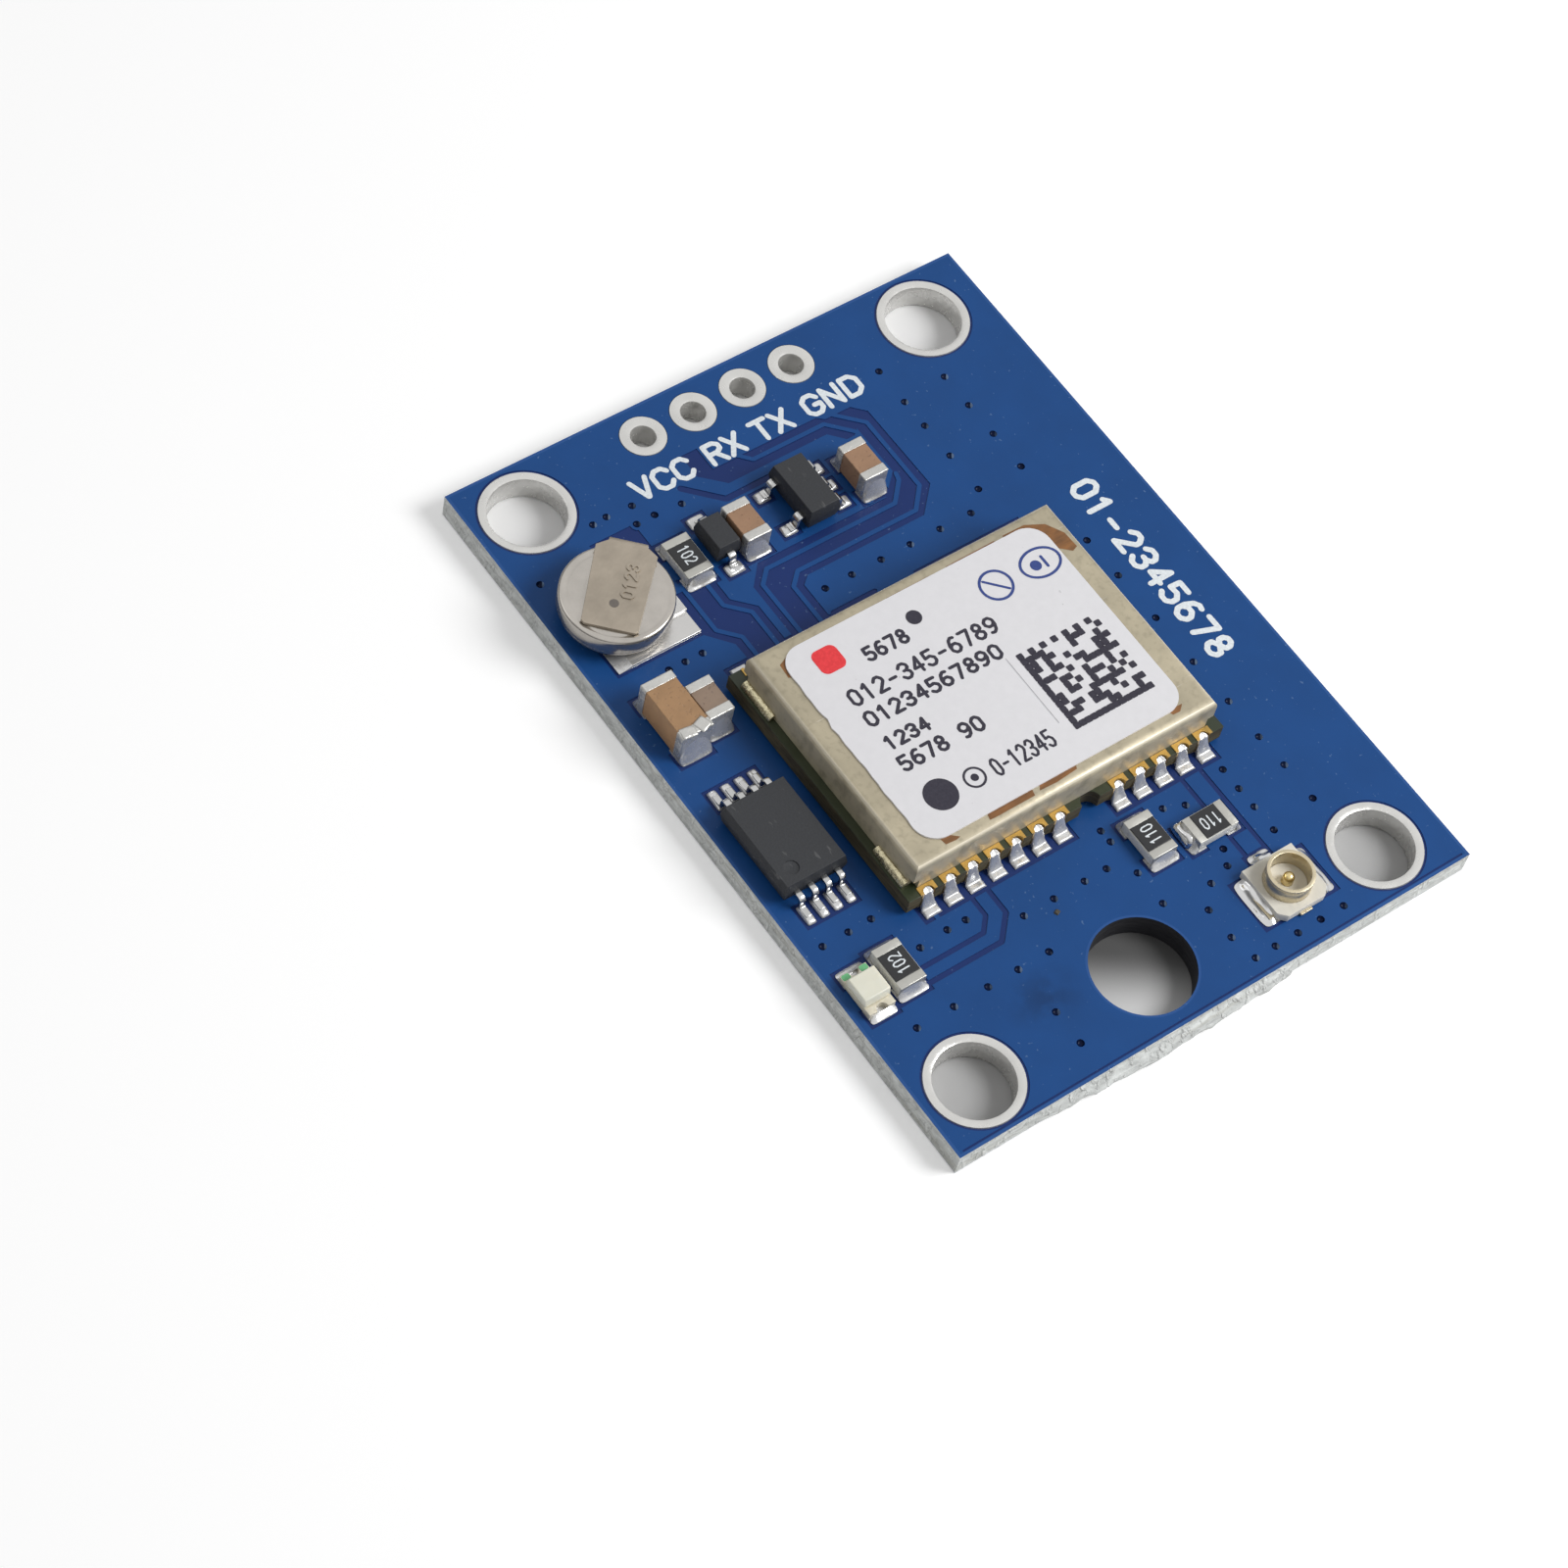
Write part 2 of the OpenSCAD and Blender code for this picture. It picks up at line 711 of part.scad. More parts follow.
module receiver_castellations() {
    color([0.85, 0.68, 0.30])
        receiver_frame(receiver_z)
            each_castellation() {
                translate([0, 0, receiver_t])
                    linear_extrude(castellation_t)
                        castellation_pad(castellation_top_l);
                translate([0, 0, -castellation_t])
                    linear_extrude(castellation_t)
                        castellation_pad(castellation_under_l);
                linear_extrude(receiver_t)
                    intersection() {
                        difference() {
                            circle(castellation_r);
                            circle(barrel_r);
                        }
                        translate([-castellation_r, 0])
                            square([2 * castellation_r, castellation_r]);
                    }
            }
}

module receiver_solder_joints() {
    color([0.74, 0.75, 0.76])
        receiver_frame(board_t)
            each_castellation() {
                translate([-joint_w / 2, -joint_reach, 0])
                    cube([joint_w, joint_reach + castellation_under_l, joint_h]);
                translate([0, -joint_reach, 0])
                    rotate([0, 0, 90])
                        solder_ramp(joint_reach, joint_rise, joint_ramp_w);
                linear_extrude(joint_rise)
                    intersection() {
                        circle(barrel_r);
                        translate([-barrel_r, 0])
                            square([2 * barrel_r, barrel_r]);
                    }
            }
}

module can_block(w, l, h, r) {
    intersection() {
        along_y(l)
            arch(w, h, r);
        along_x(w)
            arch(l, h, r);
    }
}

module receiver_shield_can() {
    color([0.72, 0.70, 0.62])
        receiver_frame(receiver_top)
            difference() {
                can_block(can_w, can_l, can_h, can_bend_r);
                translate([0, 0, -can_t])
                    can_block(can_w - 2 * can_t, can_l - 2 * can_t, can_h, can_bend_r - can_t);
                for (sx = [-1, 1], sy = [-1, 1])
                    translate([sx * can_w / 2, sy * can_l / 2, 0])
                        cube([2 * can_slit_w, 2 * can_slit_w, 2 * can_slit_h], center = true);
            }
}

module receiver_can_solder() {
    color([0.74, 0.75, 0.76])
        receiver_frame(receiver_top)
            for (sx = [0, 1], sy = [-1, 1])
                mirror([sx, 0, 0])
                    translate([can_w / 2, sy * can_bead_pitch / 2, 0])
                        along_y(can_bead_l)
                            intersection() {
                                circle(can_bead_r);
                                square(can_bead_r);
                            }
}

module receiver_label() {
    color([0.95, 0.95, 0.94])
        receiver_frame(can_top)
            translate([-label_shift, 0, 0])
                linear_extrude(label_t)
                    rounded_rect(label_w, label_l, label_r);
}

module receiver_chip() {
    color([0.13, 0.13, 0.14])
        receiver_frame(receiver_top)
            translate([chip_left, -chip_side / 2, 0])
                difference() {
                    cube([chip_side, chip_side, chip_t]);
                    translate([3 * chip_dimple_r, 3 * chip_dimple_r, chip_t - chip_dimple_t])
                        cylinder(r = chip_dimple_r, h = over);
                }
}

module lidded(w, l, t) {
    translate([-w / 2, -l / 2, 0])
        cube([w, l, t - lid_t]);
    translate([lid_inset - w / 2, lid_inset - l / 2, 0])
        cube([w - 2 * lid_inset, l - 2 * lid_inset, t]);
}

module receiver_band_filter() {
    color([0.70, 0.66, 0.55])
        receiver_frame(receiver_top)
            translate([-can_w / 2 + can_t + filter_w, -can_l / 4, 0])
                lidded(filter_w, filter_l, filter_t);
}

module receiver_reference_crystal() {
    color([0.75, 0.74, 0.70])
        receiver_frame(receiver_top)
            translate([crystal_mid, can_l / 4, 0])
                lidded(crystal_w, crystal_l, crystal_t);
}

module receiver_clock_crystal() {
    color([0.72, 0.72, 0.72])
        receiver_frame(receiver_top)
            translate([clock_mid, can_l / 4, 0])
                lidded(clock_w, clock_l, clock_t);
}

module receiver_choke() {
    color([0.30, 0.30, 0.32])
        receiver_frame(receiver_top)
            translate([can_w / 2 - can_t - choke_w, -can_l / 4, 0])
                translate([-choke_w / 2, -choke_l / 2, 0])
                    cube([choke_w, choke_l, choke_t]);
}

// Backup cell

module backup_cell() {
    color([0.70, 0.70, 0.68])
        translate([cell_at[0], cell_at[1], cell_z])
            rotate_extrude()
                cell_profile();
}

module cell_profile() {
    square([cell_cap_d / 2, cell_cap_h + cell_crimp_r]);
    translate([0, cell_cap_h]) {
        square([cell_d / 2 - cell_crimp_r, cell_crimp_r]);
        translate([0, cell_crimp_r])
            square([cell_d / 2, cell_h - cell_crimp_r - cell_edge_r]);
        translate([0, cell_crimp_r])
            square([cell_d / 2 - cell_edge_r, cell_h - cell_crimp_r]);
        translate([cell_d / 2 - cell_crimp_r, cell_crimp_r])
            circle(cell_crimp_r);
        translate([cell_d / 2 - cell_edge_r, cell_h - cell_edge_r])
            circle(cell_edge_r);
    }
}

module backup_cell_top_tab() {
    leg_top = cell_top + tab_t;
    r_out = tab_bend_r + tab_t;
    color([0.62, 0.56, 0.48])
        translate([cell_at[0], cell_at[1], 0])
            rotate([0, 0, top_tab_angle]) {
                translate([0, 0, cell_top])
                    linear_extrude(tab_t)
                        polygon([
                            [top_tab_start, top_tab_corner - top_tab_w / 2],
                            [top_tab_start + top_tab_corner, -top_tab_w / 2],
                            [leg_x - tab_bend_r - top_tab_cut, -top_tab_outer_w / 2],
                            [leg_x - tab_bend_r, -top_tab_leg_w / 2],
                            [leg_x - tab_bend_r, top_tab_leg_w / 2],
                            [leg_x - tab_bend_r - top_tab_cut, top_tab_outer_w / 2],
                            [top_tab_start + top_tab_corner, top_tab_w / 2],
                            [top_tab_start, top_tab_w / 2 - top_tab_corner]
                        ]);
                along_y(top_tab_leg_w) {
                    translate([leg_x - tab_bend_r, leg_top - r_out])
                        bend_corner(r_out, 0, tab_t);
                    translate([leg_x, pad_z + r_out])
                        square([tab_t, leg_top - pad_z - 2 * r_out]);
                    translate([leg_x + r_out, pad_z + r_out])
                        bend_corner(r_out, 180, tab_t);
                    translate([leg_x + r_out, pad_z])
                        square([top_tab_foot, tab_t]);
                }
            }
}

module backup_cell_bottom_tab() {
    color([0.80, 0.79, 0.74])
        translate([bottom_tab_x, bottom_foot_y, pad_z])
            along_x(bottom_tab_w) {
                square([bottom_tab_foot + tab_t, tab_t]);
                translate([bottom_tab_foot, 0])
                    square([tab_t, bottom_tab_step + tab_t]);
                translate([bottom_tab_foot, bottom_tab_step])
                    square([bottom_tab_l, tab_t]);
            }
}

module backup_cell_solder() {
    foot_end = leg_x + tab_bend_r + tab_t + top_tab_foot;
    color([0.74, 0.75, 0.76]) {
        translate([bottom_tab_x - bottom_tab_w / 2 - bottom_pad_extra, bottom_foot_y, board_t]) {
            cube([bottom_tab_w + bottom_pad_extra, bottom_tab_foot + tab_t, pad_t]);
            translate([0, bottom_tab_foot / 2, 0])
                solder_ramp(bottom_pad_extra, pad_t + tab_t, bottom_tab_foot);
        }
        translate([cell_at[0], cell_at[1], board_t])
            rotate([0, 0, top_tab_angle]) {
                translate([leg_x, -top_tab_leg_w / 2, 0])
                    cube([foot_end - leg_x + top_pad_extra, top_tab_leg_w, pad_t]);
                translate([foot_end + top_pad_extra, 0, 0])
                    rotate([0, 0, 180])
                        solder_ramp(top_pad_extra, pad_t + tab_t, top_tab_leg_w);
            }
    }
}

// Moulded parts with bent leads

module lead_pair(body, rise, reach, w) {
    for (s = [0, 1])
        mirror([s, 0, 0])
            translate([body / 2, 0, 0])
                bent_lead(reach, rise, w);
}

// The seat for one lead: a pad under its foot with a ramp of solder at its tip.
module lead_joint(reach, w) {
    pad_l = reach * (1 - lead_knee);
    pad_w = w + 2 * lead_pad_side;
    translate([reach - pad_l, -pad_w / 2, 0])
        cube([pad_l + lead_pad_extra, pad_w, pad_t]);
    translate([reach + lead_pad_extra, 0, 0])
        rotate([0, 0, 180])
            solder_ramp(lead_pad_extra, pad_t + lead_t, w);
}

module memory_place(z) {
    translate([left + memory_x, top - memory_y, z])
        children();
}

module each_memory_lead() {
    for (s = [0, 1], i = [0 : memory_n - 1])
        mirror([0, s, 0])
            translate([(i - (memory_n - 1) / 2) * memory_pitch, memory_l / 2, 0])
                rotate([0, 0, 90])
                    children();
}

module memory_body() {
    dot_r = 0.32;
    dot_in = 0.75;
    color([0.12, 0.12, 0.13])
        memory_place(seat_z + body_lift)
            difference() {
                moulded_block(memory_w, memory_l, memory_h, body_draft);
                translate([dot_in - memory_w / 2, dot_in - memory_l / 2, memory_h - pad_t])
                    cylinder(r = dot_r, h = over);
            }
}

module memory_leads() {
    color([0.76, 0.76, 0.76])
        memory_place(seat_z)
            each_memory_lead()
                bent_lead(memory_reach, body_lift + memory_h / 2 + lead_t / 2, memory_lead_w);
}

module memory_solder() {
    color([0.74, 0.75, 0.76])
        memory_place(board_t)
            each_memory_lead()
                lead_joint(memory_reach, memory_lead_w);
}

module regulator_place(z) {
    translate([left + regulator_x, top - regulator_y, z])
        children();
}

module each_regulator_lead() {
    for (y = [-1, 0, 1])
        translate([regulator_w / 2, y * regulator_pitch, 0])
            children();
    for (y = [-1, 1])
        translate([-regulator_w / 2, y * regulator_pitch, 0])
            rotate([0, 0, 180])
                children();
}

module regulator_body() {
    color([0.12, 0.12, 0.13])
        regulator_place(seat_z + body_lift)
            moulded_block(regulator_w, regulator_l, regulator_h, body_draft);
}

module regulator_leads() {
    color([0.76, 0.76, 0.76])
        regulator_place(seat_z)
            each_regulator_lead()
                bent_lead(regulator_reach, body_lift + regulator_h / 2 + lead_t / 2, regulator_lead_w);
}

module regulator_solder() {
    color([0.74, 0.75, 0.76])
        regulator_place(board_t)
            each_regulator_lead()
                lead_joint(regulator_reach, regulator_lead_w);
}

module diode_place(z) {
    translate([left + diode_x, top - diode_y, z])
        rotate([0, 0, 90])
            children();
}

module diode_body() {
    color([0.13, 0.13, 0.14])
        diode_place(seat_z + body_lift)
            moulded_block(diode_l, diode_w, diode_h, body_draft);
}

module diode_leads() {
    color([0.76, 0.76, 0.76])
        diode_place(seat_z)
            lead_pair(diode_l, body_lift + diode_h / 2 + lead_t / 2, diode_reach, diode_lead_w);
}

module diode_solder() {
    color([0.74, 0.75, 0.76])
        diode_place(board_t)
            for (s = [0, 1])
                mirror([s, 0, 0])
                    translate([diode_l / 2, 0, 0])
                        lead_joint(diode_reach, 2 * diode_lead_w);
}

// Capacitors lie along Y.

module capacitor_place(x, y, z) {
    translate([left + x, top - y, z])
        children();
}

module capacitor_body(w, l, h) {
    translate([0, 0, cap_end_t])
        soft_block(w - 2 * cap_end_t, l - 2 * cap_end_t, h - 2 * cap_end_t, cap_edge_r - cap_end_t);
}

module capacitor_ends(w, l, h) {
    difference() {
        soft_block(w, l, h, cap_edge_r);
        capacitor_body(w, l, h);
        translate([-w, cap_end_l - l / 2, -over])
            cube([2 * w, l - 2 * cap_end_l, h + 2 * over]);
    }
}

module end_joint(w, l, h, side = 0) {
    pad_in = 0.9;
    for (s = [0, 1])
        mirror([0, s, 0])
            translate([0, -l / 2 - chip_pad_extra, 0]) {
                translate([-w / 2 - side, 0, 0])
                    cube([w + 2 * side, chip_pad_extra + cap_end_l * pad_in, pad_t]);
                rotate([0, 0, 90])
                    solder_ramp(chip_pad_extra, pad_t + h * chip_fillet, w * pad_in);
            }
}

module output_capacitor_body() {
    color([0.50, 0.38, 0.26])
        capacitor_place(output_cap_x, output_cap_y, seat_z)
            capacitor_body(small_cap_w, small_cap_l, tall_cap_h);
}

module output_capacitor_ends() {
    color([0.78, 0.78, 0.77])
        capacitor_place(output_cap_x, output_cap_y, seat_z)
            capacitor_ends(small_cap_w, small_cap_l, tall_cap_h);
}

module input_capacitor_body() {
    color([0.50, 0.38, 0.26])
        capacitor_place(input_cap_x, input_cap_y, seat_z)
            capacitor_body(small_cap_w, small_cap_l, low_cap_h);
}

module input_capacitor_ends() {
    color([0.78, 0.78, 0.77])
        capacitor_place(input_cap_x, input_cap_y, seat_z)
            capacitor_ends(small_cap_w, small_cap_l, low_cap_h);
}

module reservoir_capacitor_body() {
    color([0.58, 0.42, 0.27])
        capacitor_place(reservoir_cap_x, reservoir_cap_y, seat_z)
            capacitor_body(large_cap_w, large_cap_l, large_cap_h);
}

module reservoir_capacitor_ends() {
    color([0.78, 0.78, 0.77])
        capacitor_place(reservoir_cap_x, reservoir_cap_y, seat_z)
            capacitor_ends(large_cap_w, large_cap_l, large_cap_h);
}

module bypass_capacitor_body() {
    color([0.50, 0.40, 0.30])
        capacitor_place(bypass_cap_x, bypass_cap_y, seat_z)
            capacitor_body(small_cap_w, bypass_cap_l, tall_cap_h);
}

module bypass_capacitor_ends() {
    color([0.78, 0.78, 0.77])
        capacitor_place(bypass_cap_x, bypass_cap_y, seat_z)
            capacitor_ends(small_cap_w, bypass_cap_l, tall_cap_h);
}

module capacitor_solder() {
    color([0.74, 0.75, 0.76]) {
        capacitor_place(output_cap_x, output_cap_y, board_t)
            end_joint(small_cap_w, small_cap_l, tall_cap_h);
        capacitor_place(input_cap_x, input_cap_y, board_t)
            end_joint(small_cap_w, small_cap_l, low_cap_h);
        capacitor_place(reservoir_cap_x, reservoir_cap_y, board_t)
            end_joint(large_cap_w, large_cap_l, large_cap_h);
        capacitor_place(bypass_cap_x, bypass_cap_y, board_t)
            end_joint(small_cap_w, bypass_cap_l, tall_cap_h);
    }
}

// Resistors lie along Y in their own frame.

module resistor_place(at, turn, z) {
    translate([at[0], at[1], z])
        rotate([0, 0, turn])
            children();
}

module resistor_base() {
    base_l = resistor_l - 2 * resistor_end_t;
    translate([-resistor_w / 2, -base_l / 2, resistor_end_t])
        cube([resistor_w, base_l, resistor_t]);
}

module resistor_overcoat() {
    coat_l = resistor_l - 2 * resistor_end_l;
    coat_w = resistor_w - 2 * resistor_end_t;
    translate([-coat_w / 2, -coat_l / 2, resistor_end_t + resistor_t])
        cube([coat_w, coat_l, overcoat_t]);
}

module resistor_ends() {
    end_h = resistor_t + 2 * resistor_end_t;
    difference() {
        along_x(resistor_w)
            translate([0, end_h / 2])
                rounded_rect(resistor_l, end_h, resistor_end_t);
        resistor_base();
        translate([-resistor_w, resistor_end_l - resistor_l / 2, -over])
            cube([2 * resistor_w, resistor_l - 2 * resistor_end_l, end_h + 2 * over]);
    }
}

module pullup_resistor_base() {
    color([0.85, 0.84, 0.80])
        resistor_place(pullup_at, 0, seat_z)
            resistor_base();
}

module pullup_resistor_overcoat() {
    color([0.10, 0.10, 0.11])
        resistor_place(pullup_at, 0, seat_z)
            resistor_overcoat();
}

module pullup_resistor_ends() {
    color([0.78, 0.78, 0.77])
        resistor_place(pullup_at, 0, seat_z)
            resistor_ends();
}

module lamp_resistor_base() {
    color([0.85, 0.84, 0.80])
        resistor_place(lamp_res_at, 0, seat_z)
            resistor_base();
}

module lamp_resistor_overcoat() {
    color([0.10, 0.10, 0.11])
        resistor_place(lamp_res_at, 0, seat_z)
            resistor_overcoat();
}

module lamp_resistor_ends() {
    color([0.78, 0.78, 0.77])
        resistor_place(lamp_res_at, 0, seat_z)
            resistor_ends();
}

module feed_resistor_base() {
    color([0.85, 0.84, 0.80])
        resistor_place(feed_res_at, 0, seat_z)
            resistor_base();
}

module feed_resistor_overcoat() {
    color([0.10, 0.10, 0.11])
        resistor_place(feed_res_at, 0, seat_z)
            resistor_overcoat();
}

module feed_resistor_ends() {
    color([0.78, 0.78, 0.77])
        resistor_place(feed_res_at, 0, seat_z)
            resistor_ends();
}

module series_resistor_base() {
    color([0.85, 0.84, 0.80])
        resistor_place(series_res_at, 90, seat_z)
            resistor_base();
}

module series_resistor_overcoat() {
    color([0.10, 0.10, 0.11])
        resistor_place(series_res_at, 90, seat_z)
            resistor_overcoat();
}

module series_resistor_ends() {
    color([0.78, 0.78, 0.77])
        resistor_place(series_res_at, 90, seat_z)
            resistor_ends();
}

module resistor_solder() {
    color([0.74, 0.75, 0.76]) {
        resistor_place(pullup_at, 0, board_t)
            end_joint(resistor_w, resistor_l, resistor_t, chip_pad_side);
        resistor_place(lamp_res_at, 0, board_t)
            end_joint(resistor_w, resistor_l, resistor_t, chip_pad_side);
        resistor_place(feed_res_at, 0, board_t)
            end_joint(resistor_w, resistor_l, resistor_t, chip_pad_side);
        resistor_place(series_res_at, 90, board_t)
            end_joint(resistor_w, resistor_l, resistor_t, chip_pad_side);
    }
}

// Lamp

module lamp_place(z) {
    translate([left + lamp_x, receiver_front - lamp_y, z])
        children();
}

module lamp_outline() {
    difference() {
        square([lamp_w, lamp_l], center = true);
        for (s = [-1, 1])
            translate([0, s * lamp_l / 2])
                circle(lamp_notch_r);
    }
}

module lamp_ends_solid() {
    linear_extrude(lamp_base_t)
        for (s = [0, 1])
            mirror([0, s])
                difference() {
                    translate([-lamp_w / 2, -lamp_l / 2])
                        square([lamp_w, lamp_end_l]);
                    translate([0, -lamp_l / 2])
                        circle(lamp_notch_r);
                }
}

module lamp_base() {
    color([0.86, 0.84, 0.74])
        lamp_place(seat_z)
            difference() {
                linear_extrude(lamp_base_t)
                    lamp_outline();
                lamp_ends_solid();
            }
}

module lamp_ends() {
    color([0.82, 0.80, 0.70])
        lamp_place(seat_z)
            lamp_ends_solid();
}

module lamp_lens() {
    color([0.93, 0.91, 0.82])
        lamp_place(seat_z + lamp_base_t)
            along_x(lamp_w)
                polygon([
                    [-lamp_lens_l / 2, 0], [lamp_lens_l / 2, 0],
                    [lamp_lens_l / 2 - lamp_lens_draft, lamp_lens_h],
                    [lamp_lens_draft - lamp_lens_l / 2, lamp_lens_h]
                ]);
}

module lamp_solder() {
    color([0.74, 0.75, 0.76])
        lamp_place(board_t)
            end_joint(lamp_w, lamp_l, lamp_base_t);
}

// Antenna socket

module socket_place(z) {
    translate([socket_at[0], socket_at[1], z])
        children();
}

module socket_shell_solid() {
    side_l = socket_w / 2 + socket_reach;
    difference() {
        union() {
            cylinder(d1 = socket_d - socket_wall, d2 = socket_d, h = socket_t);
            translate([0, 0, socket_t])
                cylinder(d = socket_d, h = socket_h - pad_t - socket_t);
            translate([-side_l, -socket_ground_w / 2, 0])
                cube([2 * side_l, socket_ground_w, socket_strip_t]);
            translate([-socket_signal_w / 2, -socket_l / 2 - socket_reach / 2, 0])
                cube([socket_signal_w, socket_l / 2, socket_strip_t]);
        }
        translate([0, 0, -over])
            cylinder(d = socket_d - 2 * socket_wall, h = socket_h + 2 * over);
        translate([-socket_signal_w, 0, -over])
            cube([2 * socket_signal_w, socket_l, over + 2 * socket_strip_t]);
        translate([0, 0, socket_h - pad_t - socket_lip - socket_groove_l / 2])
            rotate_extrude()
                polygon([
                    [socket_d / 2 - socket_groove_t, 0],
                    [socket_d / 2 + socket_groove_t, -socket_groove_l],
                    [socket_d / 2 + socket_groove_t, socket_groove_l]
                ]);
    }
}

module socket_contact_solid() {
    tip_r = socket_pin_d / 2;
    cylinder(d = socket_pin_d, h = socket_pin_h - pad_t - tip_r);
    translate([0, 0, socket_pin_h - pad_t - tip_r])
        sphere(tip_r);
    translate([-socket_signal_w / 2, 0, 0])
        cube([socket_signal_w, socket_l / 2 + socket_reach, socket_strip_t]);
}

module antenna_socket_base() {
    color([0.78, 0.74, 0.62])
        socket_place(seat_z)
            difference() {
                linear_extrude(socket_t)
                    cut_rect(socket_w, socket_l, socket_cut);
                socket_shell_solid();
                socket_contact_solid();
            }
}

module antenna_socket_shell() {
    color([0.80, 0.70, 0.45])
        socket_place(seat_z)
            socket_shell_solid();
}

module antenna_socket_contact() {
    color([0.88, 0.72, 0.32])
        socket_place(seat_z)
            socket_contact_solid();
}

module antenna_socket_solder() {
    side_l = socket_w / 2 + socket_reach;
    tail_l = socket_l / 2 + socket_reach;
    color([0.74, 0.75, 0.76])
        socket_place(board_t) {
            for (s = [0, 1])
                mirror([s, 0, 0]) {
                    translate([socket_w / 2 - socket_pad_extra, -socket_ground_pad_l / 2, 0])
                        cube([socket_reach + 2 * socket_pad_extra, socket_ground_pad_l, pad_t]);
                    translate([side_l + socket_pad_extra, 0, 0])
                        rotate([0, 0, 180])
                            solder_ramp(socket_pad_extra, pad_t + socket_strip_t, socket_ground_w);
                }
            translate([-socket_signal_pad_w / 2, socket_l / 2 - socket_pad_extra, 0])
                cube([socket_signal_pad_w, socket_reach + 2 * socket_pad_extra, pad_t]);
            translate([0, tail_l + socket_pad_extra, 0])
                rotate([0, 0, -90])
                    solder_ramp(socket_pad_extra, pad_t + socket_strip_t, socket_signal_w);
        }
}

board();
mounting_hole_plating();
header_hole_plating();
receiver_board();
receiver_castellations();
receiver_solder_joints();
receiver_shield_can();
receiver_can_solder();
receiver_label();
receiver_chip();
receiver_band_filter();
receiver_reference_crystal();
receiver_clock_crystal();
receiver_choke();
backup_cell();
backup_cell_top_tab();
backup_cell_bottom_tab();
backup_cell_solder();
memory_body();
memory_leads();
memory_solder();
regulator_body();
regulator_leads();
regulator_solder();
diode_body();
diode_leads();
diode_solder();
output_capacitor_body();
output_capacitor_ends();
input_capacitor_body();
input_capacitor_ends();
reservoir_capacitor_body();
reservoir_capacitor_ends();
bypass_capacitor_body();
bypass_capacitor_ends();
capacitor_solder();
pullup_resistor_base();
pullup_resistor_overcoat();
pullup_resistor_ends();
lamp_resistor_base();
lamp_resistor_overcoat();
lamp_resistor_ends();
feed_resistor_base();
feed_resistor_overcoat();
feed_resistor_ends();
series_resistor_base();
series_resistor_overcoat();
series_resistor_ends();
resistor_solder();
lamp_base();
lamp_lens();
lamp_ends();
lamp_solder();
antenna_socket_base();
antenna_socket_shell();
antenna_socket_contact();
antenna_socket_solder();
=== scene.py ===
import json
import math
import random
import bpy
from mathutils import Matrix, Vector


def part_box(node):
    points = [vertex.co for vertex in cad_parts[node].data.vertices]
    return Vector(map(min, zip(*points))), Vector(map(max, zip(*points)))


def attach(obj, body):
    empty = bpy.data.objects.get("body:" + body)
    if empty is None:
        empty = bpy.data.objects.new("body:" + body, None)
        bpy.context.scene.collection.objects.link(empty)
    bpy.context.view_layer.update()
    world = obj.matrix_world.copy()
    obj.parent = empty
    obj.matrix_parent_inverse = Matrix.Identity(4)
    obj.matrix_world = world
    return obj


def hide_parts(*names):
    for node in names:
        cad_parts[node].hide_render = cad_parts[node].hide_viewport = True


bl_info = {
    "name": "Satellite receiver board",
    "version": (1, 0, 0),
    "blender": (4, 5, 0),
    "location": "View3D > Sidebar > Receiver board",
    "description": "Dresses a small satellite receiver board and sets up its studio",
    "category": "Object",
}

import bmesh
import bpy
from bpy.props import FloatProperty, FloatVectorProperty, IntProperty, PointerProperty
from mathutils import Matrix, Vector, geometry

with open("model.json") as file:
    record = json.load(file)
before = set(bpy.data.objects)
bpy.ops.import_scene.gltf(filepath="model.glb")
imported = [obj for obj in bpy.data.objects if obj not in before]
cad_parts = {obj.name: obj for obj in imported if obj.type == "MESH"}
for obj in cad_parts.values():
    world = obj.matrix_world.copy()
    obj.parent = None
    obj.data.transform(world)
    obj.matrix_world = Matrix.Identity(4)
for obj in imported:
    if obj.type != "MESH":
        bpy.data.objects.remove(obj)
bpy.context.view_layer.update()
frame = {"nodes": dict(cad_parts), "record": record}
SLOTS = {part["node"]: part["material_slot"] for part in frame["record"]["subparts"]}
MM = 0.001


def corners(node):
    """The lowest and the highest corner of a CAD node in millimetres."""
    return [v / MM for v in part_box(node)]


def tint(red, green, blue):
    """A display colour from 0 to 255 as the linear colour that a shader takes."""
    return tuple(
        round(c / 12.92 if c <= 0.04045 else ((c + 0.055) / 1.055) ** 2.4, 5)
        for c in (red / 255, green / 255, blue / 255)
    )


def colour(name, description, default):
    return FloatVectorProperty(
        name=name, description=description, subtype="COLOR", size=3, min=0, max=1, default=default
    )


def length(name, description, default):
    """A length property, kept in metres and given in millimetres."""
    return FloatProperty(
        name=name, description=description, default=default * MM, unit="LENGTH", precision=5
    )


class BoardLook(bpy.types.PropertyGroup):
    mask: colour("Mask over copper", "Blue lacquer where copper lies under it", tint(24, 73, 134))
    bare: colour("Mask over laminate", "Blue lacquer where there is no copper", tint(23, 47, 104))
    laminate: colour("Laminate", "Sawn edge of the board", tint(226, 229, 227))
    ink: colour("Ink", "Printed lettering", tint(222, 228, 232))
    tin: colour("Tin", "Plating of the holes", tint(214, 213, 210))
    trace_step: length("Trace step", "Height of the copper under the mask", 0.03)
    trace_width: length("Trace width", "Width of a drawn trace", 0.2)
    via_radius: length("Via radius", "Radius of a filled via", 0.17)


